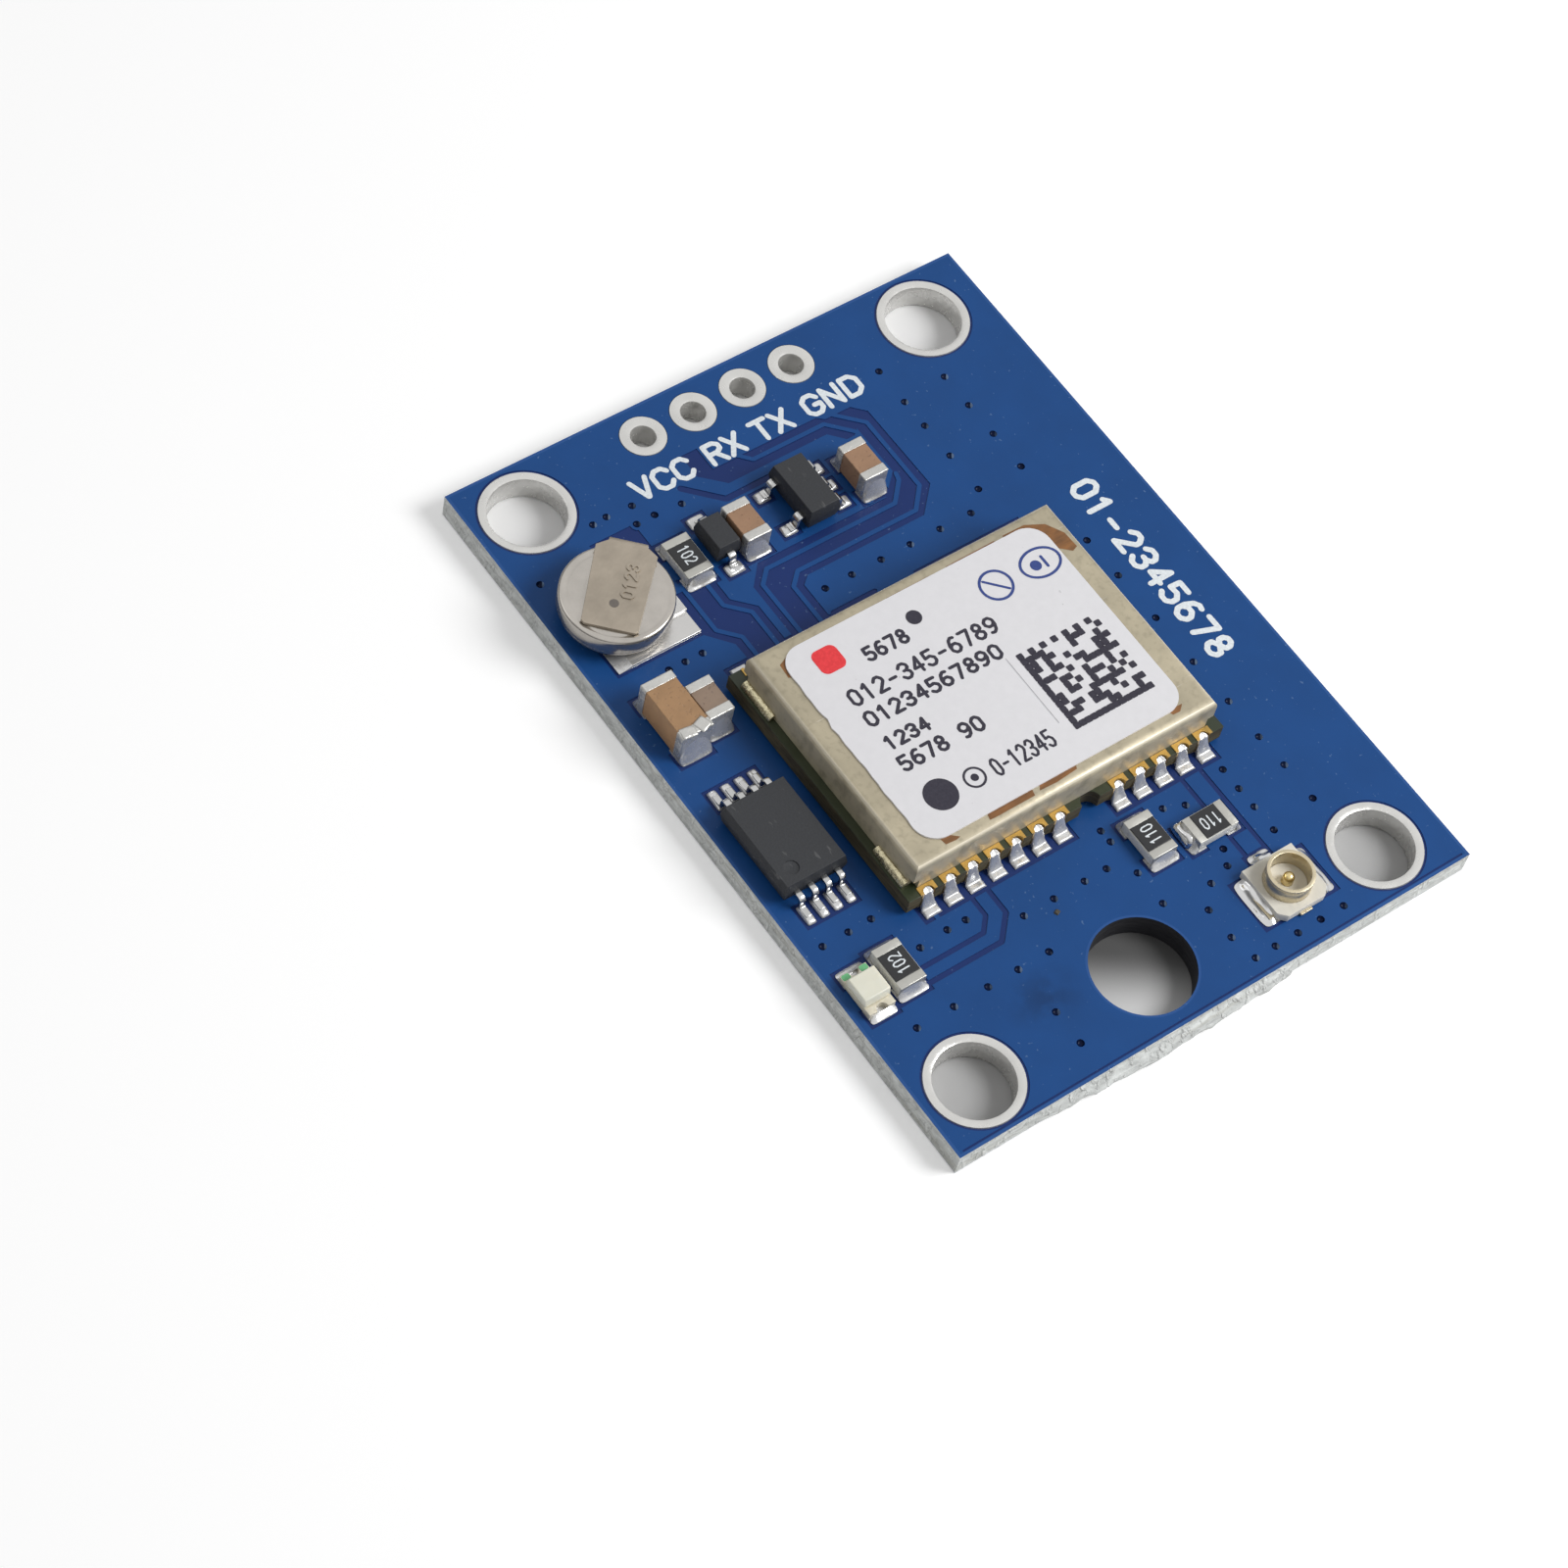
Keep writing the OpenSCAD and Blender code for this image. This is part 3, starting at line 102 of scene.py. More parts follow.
class ModuleLook(bpy.types.PropertyGroup):
    can: colour("Shield can", "Nickel silver of the folded can", tint(190, 180, 156))
    carrier: colour("Carrier board", "Lacquer of the module's own board", tint(40, 50, 26))
    gold: colour("Gold", "Castellations of the carrier board", tint(198, 162, 92))
    solder: colour("Solder", "Solder joints", tint(212, 212, 212))
    paper: colour("Label", "Paper of the label", tint(232, 231, 234))
    print_ink: colour("Label print", "Ink on the label", tint(27, 23, 41))
    mark: colour("Label mark", "Red mark on the label", tint(224, 52, 58))
    glue: colour("Old glue", "Brown glue round the label", tint(146, 98, 52))
    code_side: IntProperty(
        name="Code side", description="Cells along a side of the code", default=14, min=8, max=20
    )
    code_seed: IntProperty(name="Code seed", description="Seed of the code's cells", default=5)


class PartsLook(bpy.types.PropertyGroup):
    resin: colour("Chip resin", "Moulded chip bodies", tint(46, 48, 52))
    lead: colour("Leads", "Tinned leads", tint(194, 194, 193))
    ceramic: colour("Capacitor", "Tan ceramic of the capacitors", tint(166, 130, 102))
    ceramic_grey: colour("Small capacitor", "Ceramic of the bypass capacitor", tint(150, 129, 112))
    end_tin: colour("End caps", "Tinned ends of chip parts", tint(188, 187, 181))
    overcoat: colour("Resistor coat", "Black glaze of the resistors", tint(30, 31, 34))
    alumina: colour("Resistor base", "White ceramic under the glaze", tint(226, 226, 220))
    cell: colour("Cell steel", "Can of the backup cell", tint(186, 181, 174))
    tab: colour("Top tab", "Dull strip welded on the cell", tint(172, 162, 148))
    lens: colour("Lamp resin", "Pale resin of the lamp", tint(246, 242, 222))
    socket: colour("Socket resin", "Moulded base of the socket", tint(228, 224, 213))
    shell: colour("Socket shell", "Plated ring of the socket", tint(206, 194, 166))


class StudioLook(bpy.types.PropertyGroup):
    floor: colour("Floor", "Pale floor and background", (0.9, 0.9, 0.9))
    floor_lift: FloatProperty(
        name="Floor lift", description="White that the floor adds for the camera alone",
        default=0.26, min=0, max=1,
    )
    sky: FloatProperty(name="Sky", description="Strength of the even light", default=0.37, min=0)
    key: FloatProperty(
        name="Key lamp", description="Power of the key lamp", default=0.44, min=0, unit="POWER"
    )
    fill: FloatProperty(
        name="Fill lamp", description="Power of the fill lamp", default=0.045, min=0, unit="POWER"
    )
    lens: FloatProperty(
        name="Lens", description="Focal length of the camera in millimetres", default=95.9179, min=1
    )


# Shader maths


class Sock:
    """A shader socket that takes part in Python expressions."""

    def __init__(self, finish, socket):
        self.finish = finish
        self.socket = socket

    def _math(self, operation, first, second):
        return self.finish.node("ShaderNodeMath", {"operation": operation}, {0: first, 1: second})

    def __add__(self, other):
        return self._math("ADD", self, other)

    __radd__ = __add__

    def __sub__(self, other):
        return self._math("SUBTRACT", self, other)

    def __rsub__(self, other):
        return self._math("SUBTRACT", other, self)

    def __mul__(self, other):
        return self._math("MULTIPLY", self, other)

    __rmul__ = __mul__

    def __lt__(self, other):
        return self._math("LESS_THAN", self, other)


class Finish:
    """One node material, made from socket expressions."""

    def __init__(self, name):
        self.material = bpy.data.materials.new(name)
        self.material.use_nodes = True
        self.tree = self.material.node_tree
        self.shader = self.tree.nodes["Principled BSDF"]

    def node(self, kind, settings=None, sockets=None, out=0):
        made = self.tree.nodes.new(kind)
        for key, value in (settings or {}).items():
            setattr(made, key, value)
        for key, value in (sockets or {}).items():
            self._feed(made.inputs[key], value)
        return Sock(self, made.outputs[out])

    def _feed(self, socket, value):
        if isinstance(value, Sock):
            self.tree.links.new(value.socket, socket)
        elif isinstance(value, (tuple, list)) and len(value) == 3 and socket.type == "RGBA":
            socket.default_value = (*value, 1)
        else:
            socket.default_value = value

    def place(self, stretch=(1, 1, 1)):
        """Object coordinates in millimetres, stretched per axis."""
        spot = self.node("ShaderNodeTexCoord", out="Object")
        scale = tuple(s / MM for s in stretch)
        return self.node("ShaderNodeMapping", {}, {"Vector": spot, "Scale": scale})

    def along(self, axis):
        """Object coordinate along x, y or z in millimetres."""
        return self.node("ShaderNodeSeparateXYZ", {}, {0: self.place()}, out="xyz".index(axis))

    def facing(self, axis):
        """The surface normal's part along x, y or z."""
        normal = self.node("ShaderNodeNewGeometry", out="Normal")
        return self.node("ShaderNodeSeparateXYZ", {}, {0: normal}, out="xyz".index(axis))

    def noise(self, scale, detail=3.0, stretch=(1, 1, 1)):
        sockets = {"Vector": self.place(stretch), "Scale": scale, "Detail": detail, "Roughness": 0.55}
        return self.node("ShaderNodeTexNoise", {}, sockets)

    def ramp(self, value, low, high):
        """The value, stretched so that low gives 0 and high gives 1, and cut there."""
        sockets = {"Value": value, "From Min": low, "From Max": high}
        return self.node("ShaderNodeMapRange", {"clamp": True}, sockets)

    def mix(self, share, first, second):
        sockets = {0: share, 6: first, 7: second}
        return self.node("ShaderNodeMix", {"data_type": "RGBA"}, sockets, out=2)

    def bump(self, height, depth, strength=1.0):
        sockets = {"Height": height, "Distance": depth * MM, "Strength": strength}
        return self.node("ShaderNodeBump", {}, sockets)

    def shade(self, **inputs):
        for key, value in inputs.items():
            name = key.replace("_", " ").title().replace("Ior", "IOR")
            self._feed(self.shader.inputs[name], value)
        return self.material


# Finishes. Patterns are in millimetres.

FINISHES = {}
SMEAR_AT = (-4.5, -13.8, 1.2)
SMEAR_STRETCH = (0.75, 1, 1)


def finish(name):
    """A finish by name, made once from its line in RECIPES."""
    if name not in FINISHES:
        recipe, *values = RECIPES[name]
        values = [chosen(v) if isinstance(v, str) else v for v in values]
        FINISHES[name] = recipe(Finish(name), *values)
    return FINISHES[name]


def chosen(setting):
    """The colour that a setting such as board_look.tin holds."""
    group, name = setting.split(".")
    return tuple(getattr(getattr(bpy.context.scene, group), name))


def dark(shade, share):
    return tuple(c * share for c in shade)


def paler(shade, gain):
    """A lighter colour, also where the shade is near black."""
    return tuple(min(1, c * gain + 0.012) for c in shade)


def mask_lacquer(f, shade):
    """Satin solder mask with faint streaks, specks of dust, a dark smear and an orange-peel skin."""
    cloud = f.noise(0.35, 4)
    weave = f.noise(4.5, 2, (1, 1, 0.2))
    speck = f.ramp(f.noise(5.5, 1), 0.74, 0.80)
    base = f.mix(f.ramp(cloud, 0.3, 0.75), dark(shade, 0.92), dark(shade, 1.07))
    base = f.mix(speck * 0.22, base, tint(150, 180, 210))
    ends = {0: f.place(SMEAR_STRETCH), 1: SMEAR_AT}
    reach = f.node("ShaderNodeVectorMath", {"operation": "DISTANCE"}, ends, "Value")
    smear = (1 - f.ramp(reach, 0.2, 1.5)) * f.ramp(f.noise(0.9, 4), 0.35, 0.6)
    base = f.mix(smear * 0.6, base, dark(shade, 0.45))
    rough = 0.34 + f.ramp(weave, 0.3, 0.7) * 0.06 + speck * 0.25
    skin = f.bump(f.noise(1.4, 2), 0.006)
    return f.shade(base_color=base, roughness=rough, normal=skin, specular_ior_level=0.22)


def mask_rim(f, shade):
    return mask_lacquer(f, paler(shade, 1.15))


def mask_via(f, bare):
    """Dark filled via with a glossy skin and a painted highlight on one wall."""
    shade = dark(bare, 0.34)
    # Painted highlight: the wall that faces one fixed direction is coloured pale.
    painted_highlight = f.ramp(f.facing("y") * 0.5 - f.facing("x") * 0.86, 0.38, 0.6)
    base = f.mix(f.noise(6), dark(shade, 0.6), shade)
    base = f.mix(painted_highlight * f.ramp(f.noise(0.6), 0.42, 0.6), base, tint(150, 178, 216))
    return f.shade(base_color=base, roughness=0.12 + f.noise(8) * 0.08, specular_ior_level=0.08)


def sawn_laminate(f, pale):
    """Rough-sawn glass laminate, with long fibres and brown and pale layers."""
    fibre = f.noise(1.0, 5, (1.3, 1.3, 5))
    layer = f.noise(1.0, 2, (0.1, 0.1, 5.5))
    chip = f.ramp(f.noise(3.1, 4, (1, 1, 0.5)), 0.52, 0.66)
    base = f.mix(f.ramp(fibre, 0.34, 0.66), dark(pale, 0.66), pale)
    base = f.mix(f.ramp(layer, 0.54, 0.68) * 0.35, base, tint(150, 146, 128))
    base = f.mix(chip * 0.6, base, tint(240, 242, 240))
    return f.shade(base_color=base, roughness=0.75, normal=f.bump(fibre + chip * 0.8, 0.12, 0.9))


def drilled_laminate(f):
    """Wall of a drilled hole, coloured near black as painted shade inside the hole."""
    fibre = f.noise(1.0, 3, (1.2, 1.2, 7))
    # Painted shade: the fibres run between two near-black colours.
    base = f.mix(f.ramp(fibre, 0.3, 0.7), tint(14, 16, 24), tint(46, 46, 50))
    return f.shade(base_color=base, roughness=0.7, normal=f.bump(fibre, 0.04))


def metal(f, shade, rough, wave, grain, depth, stain, bare):
    """Bare or plated metal with stains, uneven gloss and fine ripples."""
    cloud = f.noise(0.9, 4)
    fine = f.noise(grain)
    base = f.mix(f.ramp(cloud, 0.35, 0.72) * stain, shade, dark(shade, 0.6))
    gloss = rough + (f.ramp(fine, 0.25, 0.75) - 0.5) * wave * 2
    return f.shade(base_color=base, metallic=bare, roughness=gloss, normal=f.bump(fine + cloud, depth))


def carrier_board(f, shade):
    """Dark lacquer on top, brown-green sawn laminate at the sides."""
    fibre = f.noise(1.0, 4, (0.9, 0.9, 8))
    sawn = f.mix(f.ramp(fibre, 0.3, 0.7), tint(46, 41, 25), tint(92, 83, 56))
    lacquer = f.mix(f.noise(1.2, 3), dark(shade, 0.7), shade)
    top = f.ramp(f.facing("z"), 0.5, 0.6)
    rough = 0.72 - top * 0.32
    return f.shade(base_color=f.mix(top, sawn, lacquer), roughness=rough, normal=f.bump(fibre, 0.02))


def can_sheet(f, shade):
    """Folded nickel silver, mottled and drawn dull, with fine scratches, darker brown patches on the walls
    and a painted highlight along the folds.
    """
    mottle = f.noise(0.5, 5)
    drawn = f.noise(1.0, 3, (6, 0.6, 6))
    scratch = f.ramp(f.noise(1.0, 2, (0.5, 11, 3)), 0.70, 0.76)
    grain = f.noise(3.2, 4)
    base = f.mix(f.ramp(mottle, 0.3, 0.75), dark(shade, 0.76), shade)
    base = f.mix(f.ramp(grain, 0.5, 0.75) * 0.55, base, dark(shade, 0.5))
    base = f.mix(scratch * 0.25, base, (0.9, 0.88, 0.82))
    up = f.facing("z")
    flat = f.ramp(up, 0.75, 0.95)
    # Painted highlight: the folds are coloured pale and made glossier.
    painted_fold_highlight = f.ramp(up, 0.42, 0.62) * (1 - flat)
    # Darker brown patches on the walls, away from the flat top and the folds.
    dark_wall_patches = f.ramp(f.noise(1.6, 4, (1, 1, 0.7)), 0.5, 0.66) * (1 - flat) * (1 - painted_fold_highlight)
    base = f.mix((1 - flat) * 0.5, base, tint(212, 202, 176))
    base = f.mix(dark_wall_patches * 0.34, base, tint(104, 94, 70))
    base = f.mix(painted_fold_highlight * 0.7, base, tint(242, 233, 212))
    gloss = 0.48 - flat * 0.12 - painted_fold_highlight * 0.14
    gloss = gloss + f.ramp(mottle, 0.3, 0.7) * 0.1 + f.ramp(drawn, 0.3, 0.7) * 0.06 - scratch * 0.08
    ripple = f.bump(drawn * 0.4 + mottle, 0.012)
    return f.shade(base_color=base, metallic=0.48 + flat * 0.2, roughness=gloss, normal=ripple)


def label_paper(f, shade):
    """Coated paper with faint fibre and a few grey specks."""
    fibre = f.noise(3.0, 5)
    speck = f.ramp(f.noise(3.7, 1), 0.78, 0.82)
    base = f.mix(f.ramp(fibre, 0.3, 0.75), dark(shade, 0.96), shade)
    base = f.mix(speck * 0.35, base, tint(150, 148, 150))
    cockle = f.bump(f.noise(0.5, 3) + fibre * 0.2, 0.02)
    return f.shade(base_color=base, roughness=0.42 + fibre * 0.14, normal=cockle)


def inked(f, shade, rough=0.5):
    """Ink that breaks up slightly at its grain."""
    grain = f.noise(9, 3)
    base = f.mix(f.ramp(grain, 0.35, 0.75), shade, paler(shade, 1.2))
    return f.shade(base_color=base, roughness=rough + grain * 0.1, normal=f.bump(grain, 0.004))


def old_glue(f, shade):
    """Brown, streaked glue left at the edge of the label."""
    streak = f.noise(1.0, 4, (1.2, 5, 1))
    base = f.mix(f.ramp(streak, 0.3, 0.7), dark(shade, 0.55), shade)
    return f.shade(base_color=base, roughness=0.35 + streak * 0.2, normal=f.bump(streak, 0.02))


def chip_resin(f, shade):
    """Matte moulding compound with fine sparkle and pale scuffs."""
    grain = f.noise(11, 2)
    scuff = f.ramp(f.noise(1.0, 3, (5, 1.2, 2)), 0.66, 0.74)
    base = f.mix(f.ramp(grain, 0.35, 0.7), dark(shade, 0.75), shade)
    base = f.mix(scuff * 0.3, base, tint(126, 126, 126))
    return f.shade(base_color=base, roughness=0.58 + grain * 0.14, normal=f.bump(grain, 0.012))


def ceramic(f, shade):
    """Fired ceramic with a fine pitted skin."""
    cloud = f.noise(1.4, 4)
    pit = f.ramp(f.noise(7, 2), 0.62, 0.7)
    base = f.mix(f.ramp(cloud, 0.3, 0.75), dark(shade, 0.82), shade)
    base = f.mix(pit * 0.35, base, dark(shade, 0.5))
    return f.shade(base_color=base, roughness=0.4 + cloud * 0.16, normal=f.bump(cloud * 0.5 - pit, 0.012))


def resistor_coat(f, shade):
    """Black glaze, a little uneven."""
    cloud = f.noise(1.6, 3)
    base = f.mix(cloud, dark(shade, 0.6), shade)
    return f.shade(base_color=base, roughness=0.3 + cloud * 0.16, normal=f.bump(cloud, 0.02))


def cell_tab(f, shade):
    """Dull rolled strip, brownish, with rolling lines along it."""
    line = f.noise(1.0, 3, (4, 4, 1))
    cloud = f.noise(0.8, 4)
    base = f.mix(f.ramp(cloud, 0.3, 0.7), dark(shade, 0.78), shade)
    rough = 0.44 + line * 0.14
    return f.shade(base_color=base, metallic=1.0, roughness=rough, normal=f.bump(line + cloud, 0.012))


def speckled(f, grain, low, high, rough, wave):
    """A plain surface that wanders between two colours."""
    cloud = f.noise(grain, 3)
    return f.shade(base_color=f.mix(cloud, low, high), roughness=rough + cloud * wave)


def dirt(f):
    grain = f.noise(8, 3)
    return f.shade(base_color=f.mix(grain, tint(40, 38, 34), tint(104, 98, 86)), roughness=0.85)


def lamp_resin(f, shade):
    """Cloudy pale resin with a soft glow inside."""
    cloud = f.noise(1.3, 3)
    base = f.mix(f.ramp(cloud, 0.3, 0.75), dark(shade, 0.94), shade)
    skin = f.bump(cloud, 0.02)
    return f.shade(base_color=base, roughness=0.3 + cloud * 0.12, subsurface_weight=0.1, normal=skin)


def lamp_plating(f):
    """Pale plated ends of the lamp."""
    cloud = f.noise(2.4, 3)
    base = f.mix(f.ramp(cloud, 0.3, 0.7), tint(206, 198, 176), tint(232, 227, 210))
    return f.shade(base_color=base, metallic=0.15, roughness=0.36 + cloud * 0.1, normal=f.bump(cloud, 0.008))


def socket_resin(f, shade):
    """Moulded liquid-crystal resin with flow marks."""
    flow = f.noise(1.0, 3, (2, 0.8, 2))
    base = f.mix(f.ramp(flow, 0.3, 0.7), dark(shade, 0.86), shade)
    return f.shade(base_color=base, roughness=0.46 + flow * 0.12, normal=f.bump(flow, 0.01))


RECIPES = {
    "mask_copper": (mask_lacquer, "board_look.mask"),
    "mask_bare": (mask_lacquer, "board_look.bare"),
    "mask_rim": (mask_rim, "board_look.mask"),
    "mask_via": (mask_via, "board_look.bare"),
    "sawn_laminate": (sawn_laminate, "board_look.laminate"),
    "drilled_laminate": (drilled_laminate,),
    "carrier_board": (carrier_board, "module_look.carrier"),
    "can_sheet": (can_sheet, "module_look.can"),
    "label_paper": (label_paper, "module_look.paper"),
    "label_ink": (inked, "module_look.print_ink"),
    "label_blue_ink": (inked, tint(40, 62, 128)),
    "label_red_ink": (inked, "module_look.mark"),
    "label_grey_ink": (inked, tint(176, 174, 178)),
    "board_ink": (inked, "board_look.ink", 0.55),
    "lamp_green": (inked, tint(104, 178, 124)),
    "old_glue": (old_glue, "module_look.glue"),
    "chip_resin": (chip_resin, "parts_look.resin"),
    "capacitor_tan": (ceramic, "parts_look.ceramic"),
    "capacitor_orange": (ceramic, tint(174, 136, 98)),
    "capacitor_grey": (ceramic, "parts_look.ceramic_grey"),
    "resistor_ceramic": (ceramic, "parts_look.alumina"),
    "resistor_coat": (resistor_coat, "parts_look.overcoat"),
    "cell_tab": (cell_tab, "parts_look.tab"),
    "tab_spot": (speckled, 9, tint(92, 86, 82), tint(118, 111, 104), 0.5, 0.15),
    "lamp_board": (speckled, 5, tint(190, 184, 160), tint(228, 224, 206), 0.5, 0.1),
    "lamp_resin": (lamp_resin, "parts_look.lens"),
    "lamp_plating": (lamp_plating,),
    "socket_resin": (socket_resin, "parts_look.socket"),
    "dirt": (dirt,),
    # metals: colour, roughness and its swing, grain, depth of the ripples, stain, share of metal
    "tin_plating": (metal, "board_look.tin", 0.24, 0.08, 2.6, 0.02, 0.2, 0.6),
    "solder": (metal, "module_look.solder", 0.27, 0.08, 1.7, 0.03, 0.22, 0.6),
    "bright_solder": (metal, "module_look.solder", 0.1, 0.03, 0.9, 0.03, 0.2, 1.0),
    "bead_solder": (metal, tint(206, 197, 164), 0.27, 0.1, 5.5, 0.06, 0.5, 1.0),
    "gold_plating": (metal, "module_look.gold", 0.34, 0.08, 4, 0.01, 0.55, 0.9),
    "lead_metal": (metal, "parts_look.lead", 0.2, 0.05, 2.4, 0.008, 0.25, 1.0),
    "end_cap_tin": (metal, "parts_look.end_tin", 0.36, 0.1, 3.4, 0.02, 0.25, 0.72),
    "wetted_tin": (metal, tint(204, 203, 199), 0.3, 0.12, 1.9, 0.07, 0.34, 0.6),
    "cell_steel": (metal, "parts_look.cell", 0.2, 0.04, 1.2, 0.002, 0.34, 0.88),
    "cell_tab_bright": (metal, tint(206, 205, 203), 0.26, 0.04, 0.7, 0.003, 0.12, 0.7),
    "contact_gold": (metal, tint(218, 198, 146), 0.24, 0.06, 3, 0.006, 0.2, 1.0),
    "socket_shell": (metal, "parts_look.shell", 0.3, 0.06, 3, 0.006, 0.25, 0.8),
}


# Shapes, in millimetres

MERGE = 3e-7
SOLDER_LIFT = 0.012
SOLDER_CREASE = 60
PAD_SHARE = 0.22
FILLET_TURNS = {("y", True): 0, ("y", False): 180, ("x", True): 270, ("x", False): 90}


class Shape:
    """Points and faces of one piece in millimetres, gathered before they become a mesh."""

    def __init__(self):
        self.points = []
        self.faces = []
        self.marks = []

    def add(self, points, faces, place=None, mark=0):
        """Adds points and faces at a place, with one finish number or a list of them."""
        start = len(self.points)
        place = place or Matrix.Identity(4)
        self.points += [place @ Vector(p) for p in points]
        self.faces += [[start + i for i in face] for face in faces]
        self.marks += mark if isinstance(mark, list) else [mark] * len(faces)
        return self

    def mesh(self, name, finishes, closed=True, crease=38):
        mesh = bpy.data.meshes.new(name)
        mesh.from_pydata([p * MM for p in self.points], [], self.faces)
        for each in finishes:
            mesh.materials.append(finish(each))
        mesh.polygons.foreach_set("material_index", self.marks)
        bm = bmesh.new()
        bm.from_mesh(mesh)
        bmesh.ops.remove_doubles(bm, verts=bm.verts, dist=2e-7)
        if closed:
            bmesh.ops.recalc_face_normals(bm, faces=bm.faces)
        bm.to_mesh(mesh)
        bm.free()
        shade_by_angle(mesh, crease)
        return mesh


def shade_by_angle(mesh, crease):
    mesh.polygons.foreach_set("use_smooth", [True] * len(mesh.polygons))
    mesh.set_sharp_from_angle(angle=math.radians(crease))


def piece(name, mesh, slot, *nodes):
    """A finished piece: it rides on the part and stands for its nodes. The slot is not used."""
    obj = bpy.data.objects.new(name, mesh)
    bpy.context.scene.collection.objects.link(obj)
    if nodes:
        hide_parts(*nodes)
    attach(obj, "root")
    return obj


def settled(obj):
    """The evaluated mesh of an object, modifiers included, as plain data."""
    graph = bpy.context.evaluated_depsgraph_get()
    mesh = bpy.data.meshes.new_from_object(obj.evaluated_get(graph), depsgraph=graph)
    bpy.data.objects.remove(obj)
    return mesh


def printed(name, outlines, z, finish_name, slot):
    """A flat print that fills the outlines, as a piece of its own."""
    shape = Shape().add(*sheet(outlines, z))
    piece(name, shape.mesh(name, [finish_name], closed=False), slot)


def soldered(name, shape, finish_name, *nodes):
    """A piece of soft, rounded solder."""
    piece(name, shape.mesh(name, [finish_name], crease=SOLDER_CREASE), "solder", *nodes)


def dressed(node, finish_name, bevel=0.0, segments=2, crease=32):
    """A copy of a CAD node with softened edges and a finish, which stands for the node."""
    mesh = frame["nodes"][node].data.copy()
    mesh.name = node + "_dressed"
    bm = bmesh.new()
    bm.from_mesh(mesh)
    bmesh.ops.remove_doubles(bm, verts=bm.verts, dist=MERGE)
    bmesh.ops.dissolve_limit(bm, angle_limit=math.radians(0.6), verts=bm.verts, edges=bm.edges)
    if bevel:
        sharp = [e for e in bm.edges if e.is_manifold and e.calc_face_angle(0) > math.radians(40)]
        bmesh.ops.bevel(bm, geom=sharp, offset=bevel * MM, offset_type="OFFSET", segments=segments,
                        profile=0.5, affect="EDGES", clamp_overlap=True)
        bmesh.ops.remove_doubles(bm, verts=bm.verts, dist=MERGE)
    for face in bm.faces:
        face.material_index = 0
    bm.to_mesh(mesh)
    bm.free()
    mesh.materials.clear()
    mesh.materials.append(finish(finish_name))
    shade_by_angle(mesh, crease)
    if bevel:
        rough = bpy.data.objects.new(mesh.name, mesh)
        bpy.context.scene.collection.objects.link(rough)
        even = rough.modifiers.new("Even shading", "WEIGHTED_NORMAL")
        even.keep_sharp = True
        mesh = settled(rough)
    piece(node + "_dressed", mesh, SLOTS[node], node)


def ring_points(centre, radius, count):
    """Points of a circle, anticlockwise."""
    angles = [math.tau * i / count for i in range(count)]
    return [Vector((centre[0] + radius * math.cos(a), centre[1] + radius * math.sin(a))) for a in angles]


def rect_points(x0, y0, x1, y1):
    return [Vector((x0, y0)), Vector((x1, y0)), Vector((x1, y1)), Vector((x0, y1))]


def round_rect(x0, y0, x1, y1, radius, count=8):
    """A rectangle with round corners, anticlockwise."""
    bends = [(x1 - radius, y1 - radius, 0), (x0 + radius, y1 - radius, 90),
             (x0 + radius, y0 + radius, 180), (x1 - radius, y0 + radius, 270)]
    points = []
    for x, y, turn in bends:
        for i in range(count + 1):
            angle = math.radians(turn + 90 * i / count)
            points.append(Vector((x + radius * math.cos(angle), y + radius * math.sin(angle))))
    return points


def stroke(path, width, count):
    """Outlines that together draw a path with round ends and joints."""
    path = [Vector(p) for p in path]
    shapes = [ring_points(p, width / 2, count) for p in path]
    for a, b in zip(path, path[1:]):
        step = b - a
        side = Vector((-step.y, step.x)).normalized() * width / 2
        shapes.append([a - side, b - side, b + side, a + side])
    return shapes


def overlay(outlines):
    """Triangles of overlapping outlines, each with the numbers of the outlines over it."""
    points, faces = [], []
    for outline in outlines:
        faces.append(list(range(len(points), len(points) + len(outline))))
        points += [Vector(p) for p in outline]
    made = geometry.delaunay_2d_cdt(points, [], faces, 0, 1e-5)
    return made[0], [(face, set(over)) for face, over in zip(made[2], made[5]) if over]


def sheet(outlines, z):
    """Points and faces of a flat print that fills all the outlines, facing up."""
    flat, faces = overlay(outlines)
    return [(p.x, p.y, z) for p in flat], [face for face, _ in faces]


def lathe(profile, count):
    """Points and faces of a turned shape from (radius, height) pairs."""
    points, rows, faces = [], [], []
    for radius, z in profile:
        if radius < 1e-6:
            rows.append([len(points)] * count)
            points.append((0, 0, z))
        else:
            rows.append(list(range(len(points), len(points) + count)))
            points += [(*p, z) for p in ring_points((0, 0), radius, count)]
    for low, high in zip(rows, rows[1:]):
        for i in range(count):
            j = (i + 1) % count
            face = [low[i], low[j], high[j], high[i]]
            face = [v for k, v in enumerate(face) if v not in face[:k]]
            if len(face) > 2:
                faces.append(face)
    return points, faces


def turned(x, y, z=0.0, angle=0.0):
    """A place in millimetres, turned about Z in degrees."""
    return Matrix.Translation((x, y, z)) @ Matrix.Rotation(math.radians(angle), 4, "Z")


def skirted(points, across, out):
    """Faces of a grid of points, closed by a skirt down to just under z = 0."""
    row = across + 1
    faces = []
    for j in range(out):
        for i in range(across):
            a = j * row + i
            faces.append([a, a + row, a + row + 1, a + 1])
    rim = list(range(row))
    rim += [j * row + across for j in range(1, out + 1)]
    rim += [out * row + i for i in range(across - 1, -1, -1)]
    rim += [j * row for j in range(out - 1, 0, -1)]
    start = len(points)
    points = points + [(points[v][0], points[v][1], -0.01) for v in rim]
    for k in range(len(rim)):
        n = (k + 1) % len(rim)
        faces.append([rim[k], rim[n], start + n, start + k])
    faces.append([start + k for k in range(len(rim) - 1, -1, -1)])
    return points, faces


